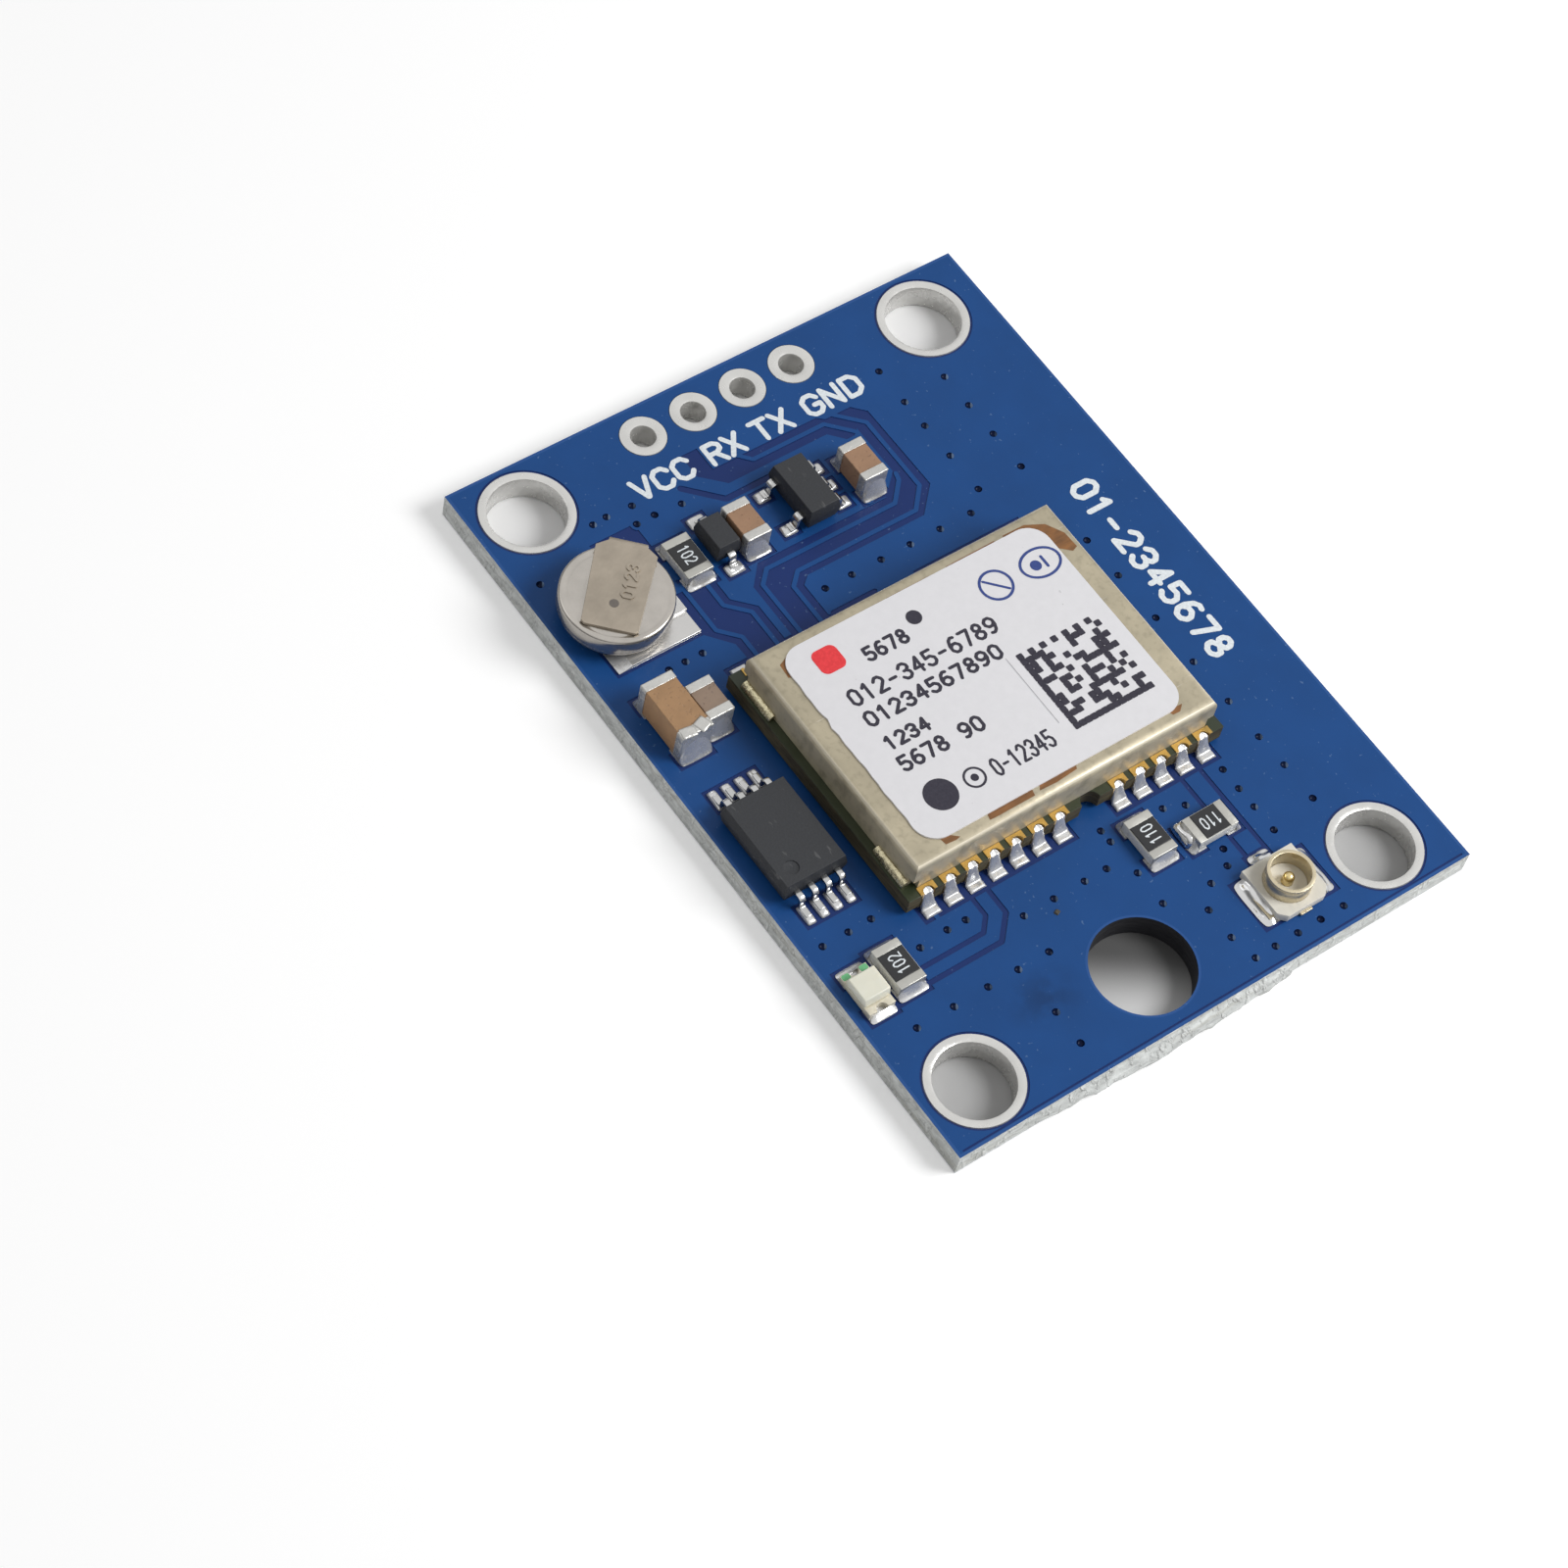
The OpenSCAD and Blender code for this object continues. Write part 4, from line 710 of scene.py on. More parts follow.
def lumps(rng, count, low, high):
    """A function of two places from -1 to 1 that adds a few soft lumps."""
    made = [
        (rng.uniform(-0.8, 0.8), rng.uniform(-0.8, 0.8), rng.uniform(low, high)) for _ in range(count)
    ]
    return lambda u, v: sum(h * math.exp(-((u - x) ** 2 + (v - y) ** 2) * 5) for x, y, h in made)


def mound(half_w, reach, rise, seed, uneven, foot=0.07, across=16, out=14):
    """A solder fillet. It climbs the metal at y = 0 and runs out over its pad to y = -reach."""
    rng = random.Random(seed)
    steep = rng.uniform(1.8, 2.6)
    lean = rng.uniform(-0.16, 0.16)
    extra = lumps(rng, 6, -uneven * 0.6, uneven)
    points = []
    for j in range(out + 1):
        t = j / out
        for i in range(across + 1):
            u = 2 * i / across - 1
            side = max(0.0, 1 - abs(u) ** 5)
            end = max(0.0, 1 - t ** 5)
            span = max(0.0, 1 - ((u - lean) / (1.05 * (1 + 0.5 * t))) ** 2)
            h = rise * (1 - t) ** steep * span ** 0.7 + (foot + extra(u, 2 * t - 1)) * side * end
            x = u * half_w * (1 - 0.1 * t ** 6)
            y = -t * reach * (1 - 0.12 * abs(u) ** 5)
            points.append((x, y, max(0.0, h)))
    return skirted(points, across, out)


def ease(value):
    value = min(1.0, max(0.0, value))
    return value * value * (3 - 2 * value)


def barrel_joint(bore, half_w, reach, rise, seed, across=14, out=34):
    """The joint of a castellation. It fills the half barrel, runs down and spreads on a square pad."""
    rng = random.Random(seed)
    steep = rng.uniform(1.25, 1.7)
    full = rng.uniform(0.88, 1.0)
    foot = rng.uniform(0.08, 0.11)
    spread = rng.uniform(0.14, 0.22)
    pull = rng.uniform(-0.03, 0.03)
    extra = lumps(rng, 5, -0.015, 0.02)
    points = []
    for j in range(out + 1):
        y = bore * 0.98 - (bore + reach) * (j / out)
        s = max(0.0, -y / reach)
        wide = bore + 0.05 * ease(s / 0.12) + (half_w - bore - 0.05) * ease((s - spread) / 0.2)
        if y > 0:
            wide = max(0.03, math.sqrt(max(0.0, bore ** 2 - y ** 2)))
        slope = max(0.0, 1 - s / 0.46) ** steep
        for i in range(across + 1):
            u = 2 * i / across - 1
            crown = 1 - 0.32 * u * u if y <= 0 else 1 + 0.1 * (y / bore) - 0.08 * (1 - u * u)
            side = max(0.0, 1 - abs(u) ** 10) * max(0.0, 1 - s ** 24)
            h = foot * side + (rise * full - foot) * slope * crown + extra(u, 2 * s - 1) * side
            x = u * wide + pull * slope * (1 if y <= 0 else 0)
            points.append((x, y, max(0.0, h)))
    return skirted(points, across, out)


def puddle(half_x, half_y, rise, seed, across=12, out=12):
    """A rounded pool of solder on a pad."""
    rng = random.Random(seed)
    extra = lumps(rng, 4, -0.35 * rise, 0.4 * rise)
    lean = rng.uniform(-0.25, 0.25)
    points = []
    for j in range(out + 1):
        v = 2 * j / out - 1
        for i in range(across + 1):
            u = 2 * i / across - 1
            edge = max(0.0, 1 - u ** 4) ** 0.55 * max(0.0, 1 - v ** 4) ** 0.55
            h = edge * (rise * (1 + lean * v) + extra(u, v))
            x = u * half_x * (1 - 0.08 * v ** 4)
            y = -v * half_y * (1 - 0.08 * u ** 4)
            points.append((x, y, max(0.0, h)))
    return skirted(points, across, out)


def pools(node, rise):
    """Rounded solder on every pad of a CAD node."""
    shape = Shape()
    for number, (lo, hi) in enumerate(islands(node)):
        mid, half = (lo + hi) / 2, (hi - lo) / 2
        place = turned(mid.x, mid.y, BOARD_TOP + SOLDER_LIFT)
        shape.add(*puddle(half.x, half.y, rise, number + 70), place)
    soldered(node + "_pools", shape, "solder", node)


def fillets(node, carriers, climb, uneven=0.022, finish_name="solder"):
    """Solder fillets on the pads of a CAD node, each climbing the end of the part that it holds."""
    ends = [corners(each) for each in carriers]
    shape = Shape()
    for number, (lo, hi) in enumerate(islands(node)):
        mid = (lo + hi) / 2
        part_lo, part_hi = min(ends, key=lambda e: ((e[0] + e[1]) / 2 - mid).length)
        away = mid - (part_lo + part_hi) / 2
        along, cross = (1, 0) if abs(away.y) > abs(away.x) else (0, 1)
        before = away[along] < 0
        edge = [mid.x, mid.y]
        edge[along] = part_lo[along] if before else part_hi[along]
        angle = FILLET_TURNS["xy"[along], before]
        reach = part_lo[along] - lo[along] if before else hi[along] - part_hi[along]
        half_w = (hi[cross] - lo[cross]) / 2
        depth = (part_hi[along] - part_lo[along]) * PAD_SHARE
        rise = (part_hi.z - part_lo.z) * climb
        fillet = mound(half_w, reach + 0.02, rise, number + 40, uneven)
        shape.add(*fillet, turned(*edge, BOARD_TOP + SOLDER_LIFT, angle))
        pad = round_rect(-half_w, -0.03, half_w, depth, 0.03, 2)
        shape.add(*slab(pad, BOARD_TOP - 0.01, BOARD_TOP + 0.05), turned(*edge, 0, angle))
    soldered(node + "_fillets", shape, finish_name, node)


def slab(outline, low, high):
    """Points and faces of a flat plate with that outline."""
    flat, faces = overlay([outline])
    count, size = len(outline), len(flat)
    points = [(p.x, p.y, high) for p in flat] + [(p.x, p.y, low) for p in flat]
    points += [(p[0], p[1], z) for z in (low, high) for p in outline]
    made = [list(face) for face, _ in faces] + [[size + i for i in face[::-1]] for face, _ in faces]
    low_row, high_row = 2 * size, 2 * size + count
    for i in range(count):
        n = (i + 1) % count
        made.append([low_row + i, low_row + n, high_row + n, high_row + i])
    return points, made


# Repeated pieces by Geometry Nodes


def scatter_tree():
    """Puts one small piece on every point, turned by the point's attribute and sized by one value for all.
    """
    tree = bpy.data.node_groups.get("Repeat_piece")
    if tree:
        return tree
    tree = bpy.data.node_groups.new("Repeat_piece", "GeometryNodeTree")
    face = tree.interface
    face.new_socket("Points", in_out="INPUT", socket_type="NodeSocketGeometry")
    face.new_socket("Piece", in_out="INPUT", socket_type="NodeSocketObject")
    face.new_socket("Finish", in_out="INPUT", socket_type="NodeSocketMaterial")
    face.new_socket("Piece size", in_out="INPUT", socket_type="NodeSocketFloat")
    face.new_socket("Pieces", in_out="OUTPUT", socket_type="NodeSocketGeometry")
    add, link = tree.nodes.new, tree.links.new
    source, result = add("NodeGroupInput"), add("NodeGroupOutput")
    info, place = add("GeometryNodeObjectInfo"), add("GeometryNodeInstanceOnPoints")
    turn, aim = add("GeometryNodeInputNamedAttribute"), add("ShaderNodeCombineXYZ")
    real, paint = add("GeometryNodeRealizeInstances"), add("GeometryNodeSetMaterial")
    turn.data_type = "FLOAT"
    turn.inputs["Name"].default_value = "turn"
    link(source.outputs["Points"], place.inputs["Points"])
    link(source.outputs["Piece"], info.inputs["Object"])
    link(info.outputs["Geometry"], place.inputs["Instance"])
    link(turn.outputs["Attribute"], aim.inputs["Z"])
    link(aim.outputs["Vector"], place.inputs["Rotation"])
    link(source.outputs["Piece size"], place.inputs["Scale"])
    link(place.outputs["Instances"], real.inputs["Geometry"])
    link(real.outputs["Geometry"], paint.inputs["Geometry"])
    link(source.outputs["Finish"], paint.inputs["Material"])
    link(paint.outputs["Geometry"], result.inputs["Pieces"])
    return tree


def repeated(name, shape, places, finish_name, size=1.0, closed=True):
    """A mesh with the shape at every (x, y, z, turn in degrees)."""
    tree = scatter_tree()
    seed = bpy.data.objects.new(name + "_one", shape.mesh(name + "_one", [finish_name], closed))
    bpy.context.scene.collection.objects.link(seed)
    points = bpy.data.meshes.new(name + "_points")
    points.from_pydata([Vector(p[:3]) * MM for p in places], [], [])
    turns = points.attributes.new("turn", "FLOAT", "POINT")
    turns.data.foreach_set("value", [math.radians(p[3]) for p in places])
    holder = bpy.data.objects.new(name, points)
    bpy.context.scene.collection.objects.link(holder)
    repeat = holder.modifiers.new("Repeat", "NODES")
    repeat.node_group = tree
    items = tree.interface.items_tree
    sockets = {item.name: item.identifier for item in items if item.in_out == "INPUT"}
    repeat[sockets["Piece"]] = seed
    repeat[sockets["Finish"]] = finish(finish_name)
    repeat[sockets["Piece size"]] = size
    mesh = settled(holder)
    bpy.data.objects.remove(seed)
    if not mesh.polygons:
        raise RuntimeError(f"{name}: nothing was repeated")
    mesh.name = name
    return mesh


# Lettering

GLYPHS = {
    "V": [[(0, 1), (0.33, 0.02), (0.37, 0.02), (0.7, 1)]],
    "C": [[(0.68, 0.78), (0.5, 1), (0.2, 1), (0, 0.8), (0, 0.2), (0.2, 0), (0.5, 0), (0.68, 0.22)]],
    "R": [[(0, 0), (0, 1), (0.46, 1), (0.66, 0.85), (0.66, 0.64), (0.46, 0.5), (0, 0.5)],
          [(0.34, 0.5), (0.68, 0)]],
    "X": [[(0, 1), (0.66, 0)], [(0.66, 1), (0, 0)]],
    "T": [[(0, 1), (0.7, 1)], [(0.35, 1), (0.35, 0)]],
    "G": [[(0.66, 0.78), (0.48, 1), (0.2, 1), (0, 0.8), (0, 0.2), (0.2, 0), (0.48, 0), (0.66, 0.2),
           (0.66, 0.46), (0.4, 0.46)]],
    "N": [[(0, 0), (0, 1), (0.62, 0), (0.62, 1)]],
    "D": [[(0, 0), (0, 1), (0.4, 1), (0.64, 0.76), (0.64, 0.24), (0.4, 0), (0, 0)]],
    "0": [[(0.2, 0), (0, 0.2), (0, 0.8), (0.2, 1), (0.4, 1), (0.6, 0.8), (0.6, 0.2), (0.4, 0), (0.2, 0)]],
    "1": [[(0.1, 0.8), (0.32, 1), (0.32, 0)]],
    "2": [[(0, 0.8), (0.2, 1), (0.42, 1), (0.6, 0.8), (0.6, 0.62), (0, 0), (0.62, 0)]],
    "3": [[(0, 0.82), (0.18, 1), (0.42, 1), (0.6, 0.84), (0.6, 0.66), (0.42, 0.52), (0.25, 0.52)],
          [(0.42, 0.52), (0.6, 0.36), (0.6, 0.16), (0.42, 0), (0.18, 0), (0, 0.18)]],
    "4": [[(0.45, 0), (0.45, 1), (0, 0.32), (0.62, 0.32)]],
    "5": [[(0.58, 1), (0.05, 1), (0.02, 0.56), (0.38, 0.6), (0.6, 0.42), (0.6, 0.18), (0.42, 0),
           (0.18, 0), (0, 0.15)]],
    "6": [[(0.52, 0.96), (0.34, 1), (0.14, 0.86), (0, 0.52), (0, 0.2), (0.18, 0), (0.42, 0), (0.6, 0.18),
           (0.6, 0.38), (0.42, 0.56), (0.18, 0.56), (0, 0.38)]],
    "7": [[(0, 1), (0.62, 1), (0.25, 0)]],
    "8": [[(0.3, 0.53), (0.08, 0.66), (0.08, 0.86), (0.22, 1), (0.4, 1), (0.54, 0.86), (0.54, 0.66),
           (0.3, 0.53), (0.02, 0.36), (0.02, 0.16), (0.2, 0), (0.42, 0), (0.6, 0.16), (0.6, 0.36),
           (0.3, 0.53)]],
    "9": [[(0.08, 0.04), (0.26, 0), (0.46, 0.14), (0.6, 0.48), (0.6, 0.8), (0.42, 1), (0.18, 1), (0, 0.82),
           (0, 0.62), (0.18, 0.44), (0.42, 0.44), (0.6, 0.62)]],
    "-": [[(0.08, 0.46), (0.52, 0.46)]],
    " ": [],
}


LETTER_PITCH, LETTER_WIDTH = 0.94, 0.66


def lettering(text, x0, x1, y0, y1, width):
    """Outlines of a line of text that fills the box, strokes included."""
    half = width / 2
    scale_x = (x1 - x0 - width) / (LETTER_PITCH * (len(text) - 1) + LETTER_WIDTH)
    scale_y = y1 - y0 - width
    outlines = []
    for i, letter in enumerate(text):
        for path in GLYPHS[letter]:
            xs = [x0 + half + (i * LETTER_PITCH + px) * scale_x for px, _ in path]
            ys = [y0 + half + py * scale_y for _, py in path]
            outlines += stroke(zip(xs, ys), width, 8)
    return outlines


# Drawn layout of the board, in millimetres

BOARD_LO, BOARD_HI = corners("board")
BOARD_TOP = BOARD_HI.z
MOUNT_AT = [(x, y) for x in (-10.52, 9.88) for y in (-15.3, 15.3)]
HEADER_AT = [(-4.17 + 2.54 * i, 16.13) for i in range(4)]
MIDDLE_AT = (-1.75, -14.75)
MOUNT_RING, MOUNT_HOLE = 2.05, 1.65
HEADER_RING, HEADER_HOLE = 1.025, 0.525
MIDDLE_HOLE, MIDDLE_RIM = 2.2, 0.1
MOUNT_SIDES, HEADER_SIDES, MIDDLE_SIDES = 64, 48, 72
MODULE_LO, MODULE_HI = corners("receiver_board")
CASTELLATION_PITCH = 1.1
CASTELLATION_X = [1.0 + CASTELLATION_PITCH * i for i in range(7)]
CASTELLATION_X += [10.6 + CASTELLATION_PITCH * i for i in range(5)]

BARE_AREAS = [
    [(-7.7, 8.9), (-7.7, 6.7), (-6.85, 5.7), (-6.8, 4.2), (-4.95, 4.2), (-4.95, 6.75), (-5.78, 7.6),
     (-5.78, 8.9)],
    [(-4.6, 4.2), (-2.72, 4.2), (-2.72, 6.65), (-2.3, 6.98), (3.7, 6.98), (4.9, 8.15), (4.85, 12.5),
     (4.3, 13.05), (3.0, 13.05), (3.9, 12.0), (3.9, 9.45), (2.85, 8.5), (-3.75, 8.5), (-4.6, 7.6)],
    [(-3.4, 14.5), (-3.4, 13.3), (-2.45, 12.38), (2.6, 12.38), (3.2, 11.75), (3.6, 11.75), (3.9, 12.0),
     (3.0, 13.05), (2.7, 13.3), (-2.6, 13.3), (-2.6, 14.5)],
]
BARE_LINES = [
    (0.3, [(-4.35, 13.15), (-3.0, 11.78), (-0.6, 11.8)]),
    (0.22, [(-9.33, -10.28), (-6.28, -10.28), (-5.73, -9.69), (-5.73, -8.6)]),
    (0.24, [(-9.4, -10.97), (-5.9, -10.97), (-4.95, -10.0), (-4.95, -8.6)]),
    (0.22, [(4.98, -8.6), (4.98, -13.0)]),
    (0.22, [(5.94, -8.6), (5.94, -13.0)]),
    (0.2, [(-2.5, 4.95), (-0.35, 4.95)]),
]
TRACE_LINES = [
    [(-7.15, 9.2), (-7.15, 6.65), (-6.4, 5.85), (-6.4, 3.9)],
    [(-6.18, 9.2), (-6.18, 7.5), (-5.35, 6.65), (-5.35, 3.9)],
    [(-4.2, 3.9), (-4.2, 7.5), (-3.6, 8.08), (3.0, 8.08), (3.85, 8.95), (3.95, 9.3)],
    [(-3.15, 3.9), (-3.15, 6.8), (-2.55, 7.35), (3.55, 7.35), (4.45, 8.3), (4.45, 12.05), (3.3, 13.2)],
    [(-1.35, 13.4), (-0.85, 12.87), (2.8, 12.87), (3.75, 11.9)],
    [(-7.43, -9.0), (-7.43, -8.3)],
]
VIAS = [
    (-12.05, 12.08), (-8.53, 13.45), (-7.83, 13.5), (-6.6, 13.44), (-6.95, 12.58), (-6.05, 12.6),
    (-4.75, 12.5), (-9.9, 6.04), (-9.1, 6.03), (-8.26, 6.02), (-2.07, 6.07), (-0.71, 6.07), (0.79, 6.07),
    (2.31, 6.07), (3.86, 6.07), (5.48, 6.07), (2.14, 8.86), (6.5, 13.95), (6.5, 12.1), (6.5, 10.67),
    (6.5, 8.88), (6.5, 6.9), (8.8, 12.33), (8.8, 10.6), (8.8, 8.88), (8.8, 6.93), (8.9, 2.5),
    (8.95, 0.43), (9.0, -2.05), (9.0, -4.57), (9.05, -6.83), (9.05, -8.82), (9.1, -10.41), (9.1, -12.25),
    (-12.08, -7.5), (-10.83, -7.5), (-9.72, -7.48), (-8.83, -9.52), (-7.43, -9.43), (-6.53, -9.45),
    (-4.44, -10.5), (-2.93, -10.5), (-1.38, -10.5), (-0.26, -10.5), (0.62, -9.0), (0.65, -9.6),
    (0.7, -11.3), (0.7, -12.93), (-11.06, -12.3), (-9.26, -12.3), (-7.59, -12.3), (-6.1, -12.3),
    (-4.57, -12.3), (-5.98, -14.57), (-5.99, -16.15), (3.45, -9.47), (4.36, -9.82), (4.4, -12.22),
    (4.04, -12.92), (2.96, -13.22), (2.1, -14.12), (2.1, -15.57), (6.75, -9.28), (6.75, -10.33),
    (6.75, -11.33), (6.75, -12.59), (2.35, -16.8), (3.38, -16.8), (4.55, -16.8), (5.74, -16.8),
    (6.95, -16.8),
]
SOLDER_NODES = ["memory_solder", "regulator_solder", "diode_solder", "capacitor_solder", "resistor_solder",
                "lamp_solder", "antenna_socket_solder", "backup_cell_solder"]
VIA_SIDES = 14
VIA_LAND = 0.13
EDGE_RIM = 0.13
PAD_GAP = 0.13
RING_GAP = 0.08
EDGE_LINE_IN, EDGE_LINE_END, EDGE_LINE_WIDTH = 0.19, 0.3, 0.08
PRINT_LIFT, THIN_LIFT = 0.008, 0.006

# The torn stub of the tab by which the board hung in its panel: (x, reach), then the share at each level.
STUB = [(-9.3, 0.0), (-8.3, 0.24), (-6.9, 0.22), (-6.3, 0.38), (-2.7, 0.48), (0.0, 0.42), (2.4, 0.36),
        (3.5, 0.28), (4.1, 0.0)]
STUB_SHARES = (0.0, 0.14, 0.62, 1.0, 0.86, 0.0)


def stub_reach(x, level):
    """How far the stub stands out from the near short edge at x, uneven from level to level."""
    torn = 0.92 + 0.1 * math.sin(x * 1.7 + level * 2.1) + 0.07 * math.sin(x * 4.3 + level * 0.9)
    for (ax, a), (bx, b) in zip(STUB, STUB[1:]):
        if ax <= x <= bx:
            return torn * (a + (b - a) * (x - ax) / (bx - ax))
    return 0.0


def islands(node):
    """The separate solids of a CAD node as (lowest, highest) corners in millimetres."""
    bm = bmesh.new()
    bm.from_mesh(frame["nodes"][node].data)
    bmesh.ops.remove_doubles(bm, verts=bm.verts, dist=MERGE)
    seen, boxes = set(), []
    for first in bm.verts:
        if first in seen:
            continue
        group, todo = [], [first]
        seen.add(first)
        while todo:
            vert = todo.pop()
            group.append(vert.co / MM)
            for edge in vert.link_edges:
                other = edge.other_vert(vert)
                if other not in seen:
                    seen.add(other)
                    todo.append(other)
        boxes.append((Vector(map(min, zip(*group))), Vector(map(max, zip(*group)))))
    bm.free()
    return boxes


def pad_clearances():
    """Bare gaps round the soldered pads, and the strips between the castellations' pads."""
    outlines = []
    for node in SOLDER_NODES:
        for lo, hi in islands(node):
            outlines.append(rect_points(lo.x - PAD_GAP, lo.y - PAD_GAP, hi.x + PAD_GAP, hi.y + PAD_GAP))
    rows = ((MODULE_LO.y - 0.78, MODULE_LO.y + 0.5), (MODULE_HI.y - 0.5, MODULE_HI.y + 0.78))
    for x in CASTELLATION_X:
        left = MODULE_LO.x + x - CASTELLATION_PITCH / 2
        outlines += [rect_points(left, y0, left + CASTELLATION_PITCH, y1) for y0, y1 in rows]
    return outlines


# Studio. Lamps and floor are in metres, the camera is in millimetres and degrees.

FLOOR_HALF, FLOOR_LOW = 0.6, -3.2e-5
FLOOR_TUCK = 0.3
FLOOR_FADE, FLOOR_FADE_LIFT = (60, 420), 0.34
# Painted shade of the floor under the board, as shares of its colour, and across the middle hole.
UNDER_RUN, UNDER_SHARES = (-15, 9), (0.5, 0.95)
HOLE_SHADE_TURN, HOLE_SHADE_RUN, HOLE_SHADE_SHARES = (0.6, 0.8), (-1.9, 1.35), (0.86, 0.125)
KEY_AT, KEY_SIZE = (0.13, -0.115, 0.175), 0.13
FILL_AT, FILL_SIZE = (-0.12, 0.16, 0.16), 0.16
SOFT_BOX_SLOPE = (0.31, -0.16, 0.8)
SOFT_BOX_RANGE = {"From Min": -0.05, "From Max": 0.62, "To Min": 0.2, "To Max": 1.0}
CAMERA_AT = (-76.37259, -60.84110, 138.99908)
CAMERA_TURN = (32.34618, -8.05775, -35.75186)
SENSOR_WIDTH = 36


class RECEIVER_OT_stage(bpy.types.Operator):
    """Sets up the floor, the light and the camera"""

    bl_idname = "receiver.stage"
    bl_label = "Studio"

    def execute(self, context):
        scene = context.scene
        look = scene.studio_look
        scene.view_settings.view_transform = "Standard"
        self.floor(scene, look)
        self.world(scene, look)
        self.lamp(scene, "key", KEY_AT, KEY_SIZE, look.key)
        self.lamp(scene, "fill", FILL_AT, FILL_SIZE, look.fill)
        self.camera(scene, look)
        return {"FINISHED"}

    def floor(self, scene, look):
        """A pale floor, white for the camera round the board, with painted shade where the holes show it."""
        mesh = bpy.data.meshes.new("floor")
        square = ((-1, -1), (1, -1), (1, 1), (-1, 1))
        points = [(x * FLOOR_HALF, y * FLOOR_HALF, FLOOR_LOW) for x, y in square]
        mesh.from_pydata(points, [], [[0, 1, 2, 3]])
        f = Finish("floor")
        path = f.node("ShaderNodeLightPath", out="Is Camera Ray")
        away = [f.node("ShaderNodeMath", {"operation": "ABSOLUTE"}, {0: f.along(axis)}) for axis in "xy"]
        under = (away[0] < BOARD_HI.x - FLOOR_TUCK) * (away[1] < BOARD_HI.y - FLOOR_TUCK)
        centre = f.node("ShaderNodeVectorMath", {"operation": "LENGTH"}, {0: f.place()}, "Value")
        white = look.floor_lift + f.ramp(centre, *FLOOR_FADE) * FLOOR_FADE_LIFT
        lift = f.mix(path * (1 - under) * white, (0, 0, 0), (1, 1, 1))
        # Painted shade under the board, darker towards the near edge, and across the middle hole, darker on
        # one side.
        hole = [f.along(axis) - spot for axis, spot in zip("xy", MIDDLE_AT)]
        near = 1 - f.ramp(hole[0] * hole[0] + hole[1] * hole[1], 9, 16)
        across = hole[0] * HOLE_SHADE_TURN[0] + hole[1] * HOLE_SHADE_TURN[1]
        depth = f.ramp(across, *HOLE_SHADE_RUN)
        depth = depth * depth * (3 - depth * 2)
        dim = f.mix(f.ramp(f.along("y"), *UNDER_RUN), *[dark(look.floor, s) for s in UNDER_SHARES])
        seen = f.mix(depth, *[dark(look.floor, s) for s in HOLE_SHADE_SHARES])
        shade = f.mix(under, tuple(look.floor), f.mix(near, dim, seen))
        mesh.materials.append(f.shade(
            base_color=shade, roughness=0.8, specular_ior_level=0.1, emission_color=lift, emission_strength=1
        ))
        obj = bpy.data.objects.new("floor", mesh)
        scene.collection.objects.link(obj)

    def world(self, scene, look):
        """Even light, a soft box for reflections, and plain white for the camera."""
        world = scene.world or bpy.data.worlds.new("Studio")
        scene.world = world
        world.use_nodes = True
        nodes, link = world.node_tree.nodes, world.node_tree.links.new
        nodes.clear()
        path, spot = nodes.new("ShaderNodeLightPath"), nodes.new("ShaderNodeTexCoord")
        slope = nodes.new("ShaderNodeVectorMath")
        slope.operation = "DOT_PRODUCT"
        slope.inputs[1].default_value = SOFT_BOX_SLOPE
        link(spot.outputs["Generated"], slope.inputs[0])
        soft_box = nodes.new("ShaderNodeMapRange")
        soft_box.interpolation_type = "SMOOTHSTEP"
        for key, value in SOFT_BOX_RANGE.items():
            soft_box.inputs[key].default_value = value
        link(slope.outputs["Value"], soft_box.inputs["Value"])
        either = nodes.new("ShaderNodeMath")
        either.operation = "MAXIMUM"
        link(path.outputs["Is Glossy Ray"], either.inputs[0])
        link(path.outputs["Is Transmission Ray"], either.inputs[1])
        reflected, white = self.sky(nodes, 1.0), self.sky(nodes, 1.0)
        link(soft_box.outputs["Result"], reflected.inputs["Strength"])
        last = self.sky(nodes, look.sky)
        for share, shown in ((either.outputs[0], reflected), (path.outputs["Is Camera Ray"], white)):
            mix = nodes.new("ShaderNodeMixShader")
            link(share, mix.inputs["Fac"])
            link(last.outputs[0], mix.inputs[1])
            link(shown.outputs[0], mix.inputs[2])
            last = mix
        link(last.outputs[0], nodes.new("ShaderNodeOutputWorld").inputs["Surface"])

    def sky(self, nodes, strength):
        made = nodes.new("ShaderNodeBackground")
        made.inputs["Color"].default_value = (1, 1, 1, 1)
        made.inputs["Strength"].default_value = strength
        return made

    def lamp(self, scene, name, spot, size, power):
        """A round lamp that faces the part."""
        data = bpy.data.lights.new(name, "AREA")
        data.shape = "DISK"
        data.size = size
        data.energy = power
        obj = bpy.data.objects.new(name, data)
        obj.location = spot
        obj.rotation_euler = (-Vector(spot)).to_track_quat("-Z", "Y").to_euler()
        scene.collection.objects.link(obj)

    def camera(self, scene, look):
        data = bpy.data.cameras.new("camera")
        data.lens = look.lens
        data.sensor_width = SENSOR_WIDTH
        data.clip_start = 0.01
        eye = bpy.data.objects.new("camera", data)
        eye.location = Vector(CAMERA_AT) * MM
        eye.rotation_euler = [math.radians(a) for a in CAMERA_TURN]
        scene.collection.objects.link(eye)
        scene.camera = eye


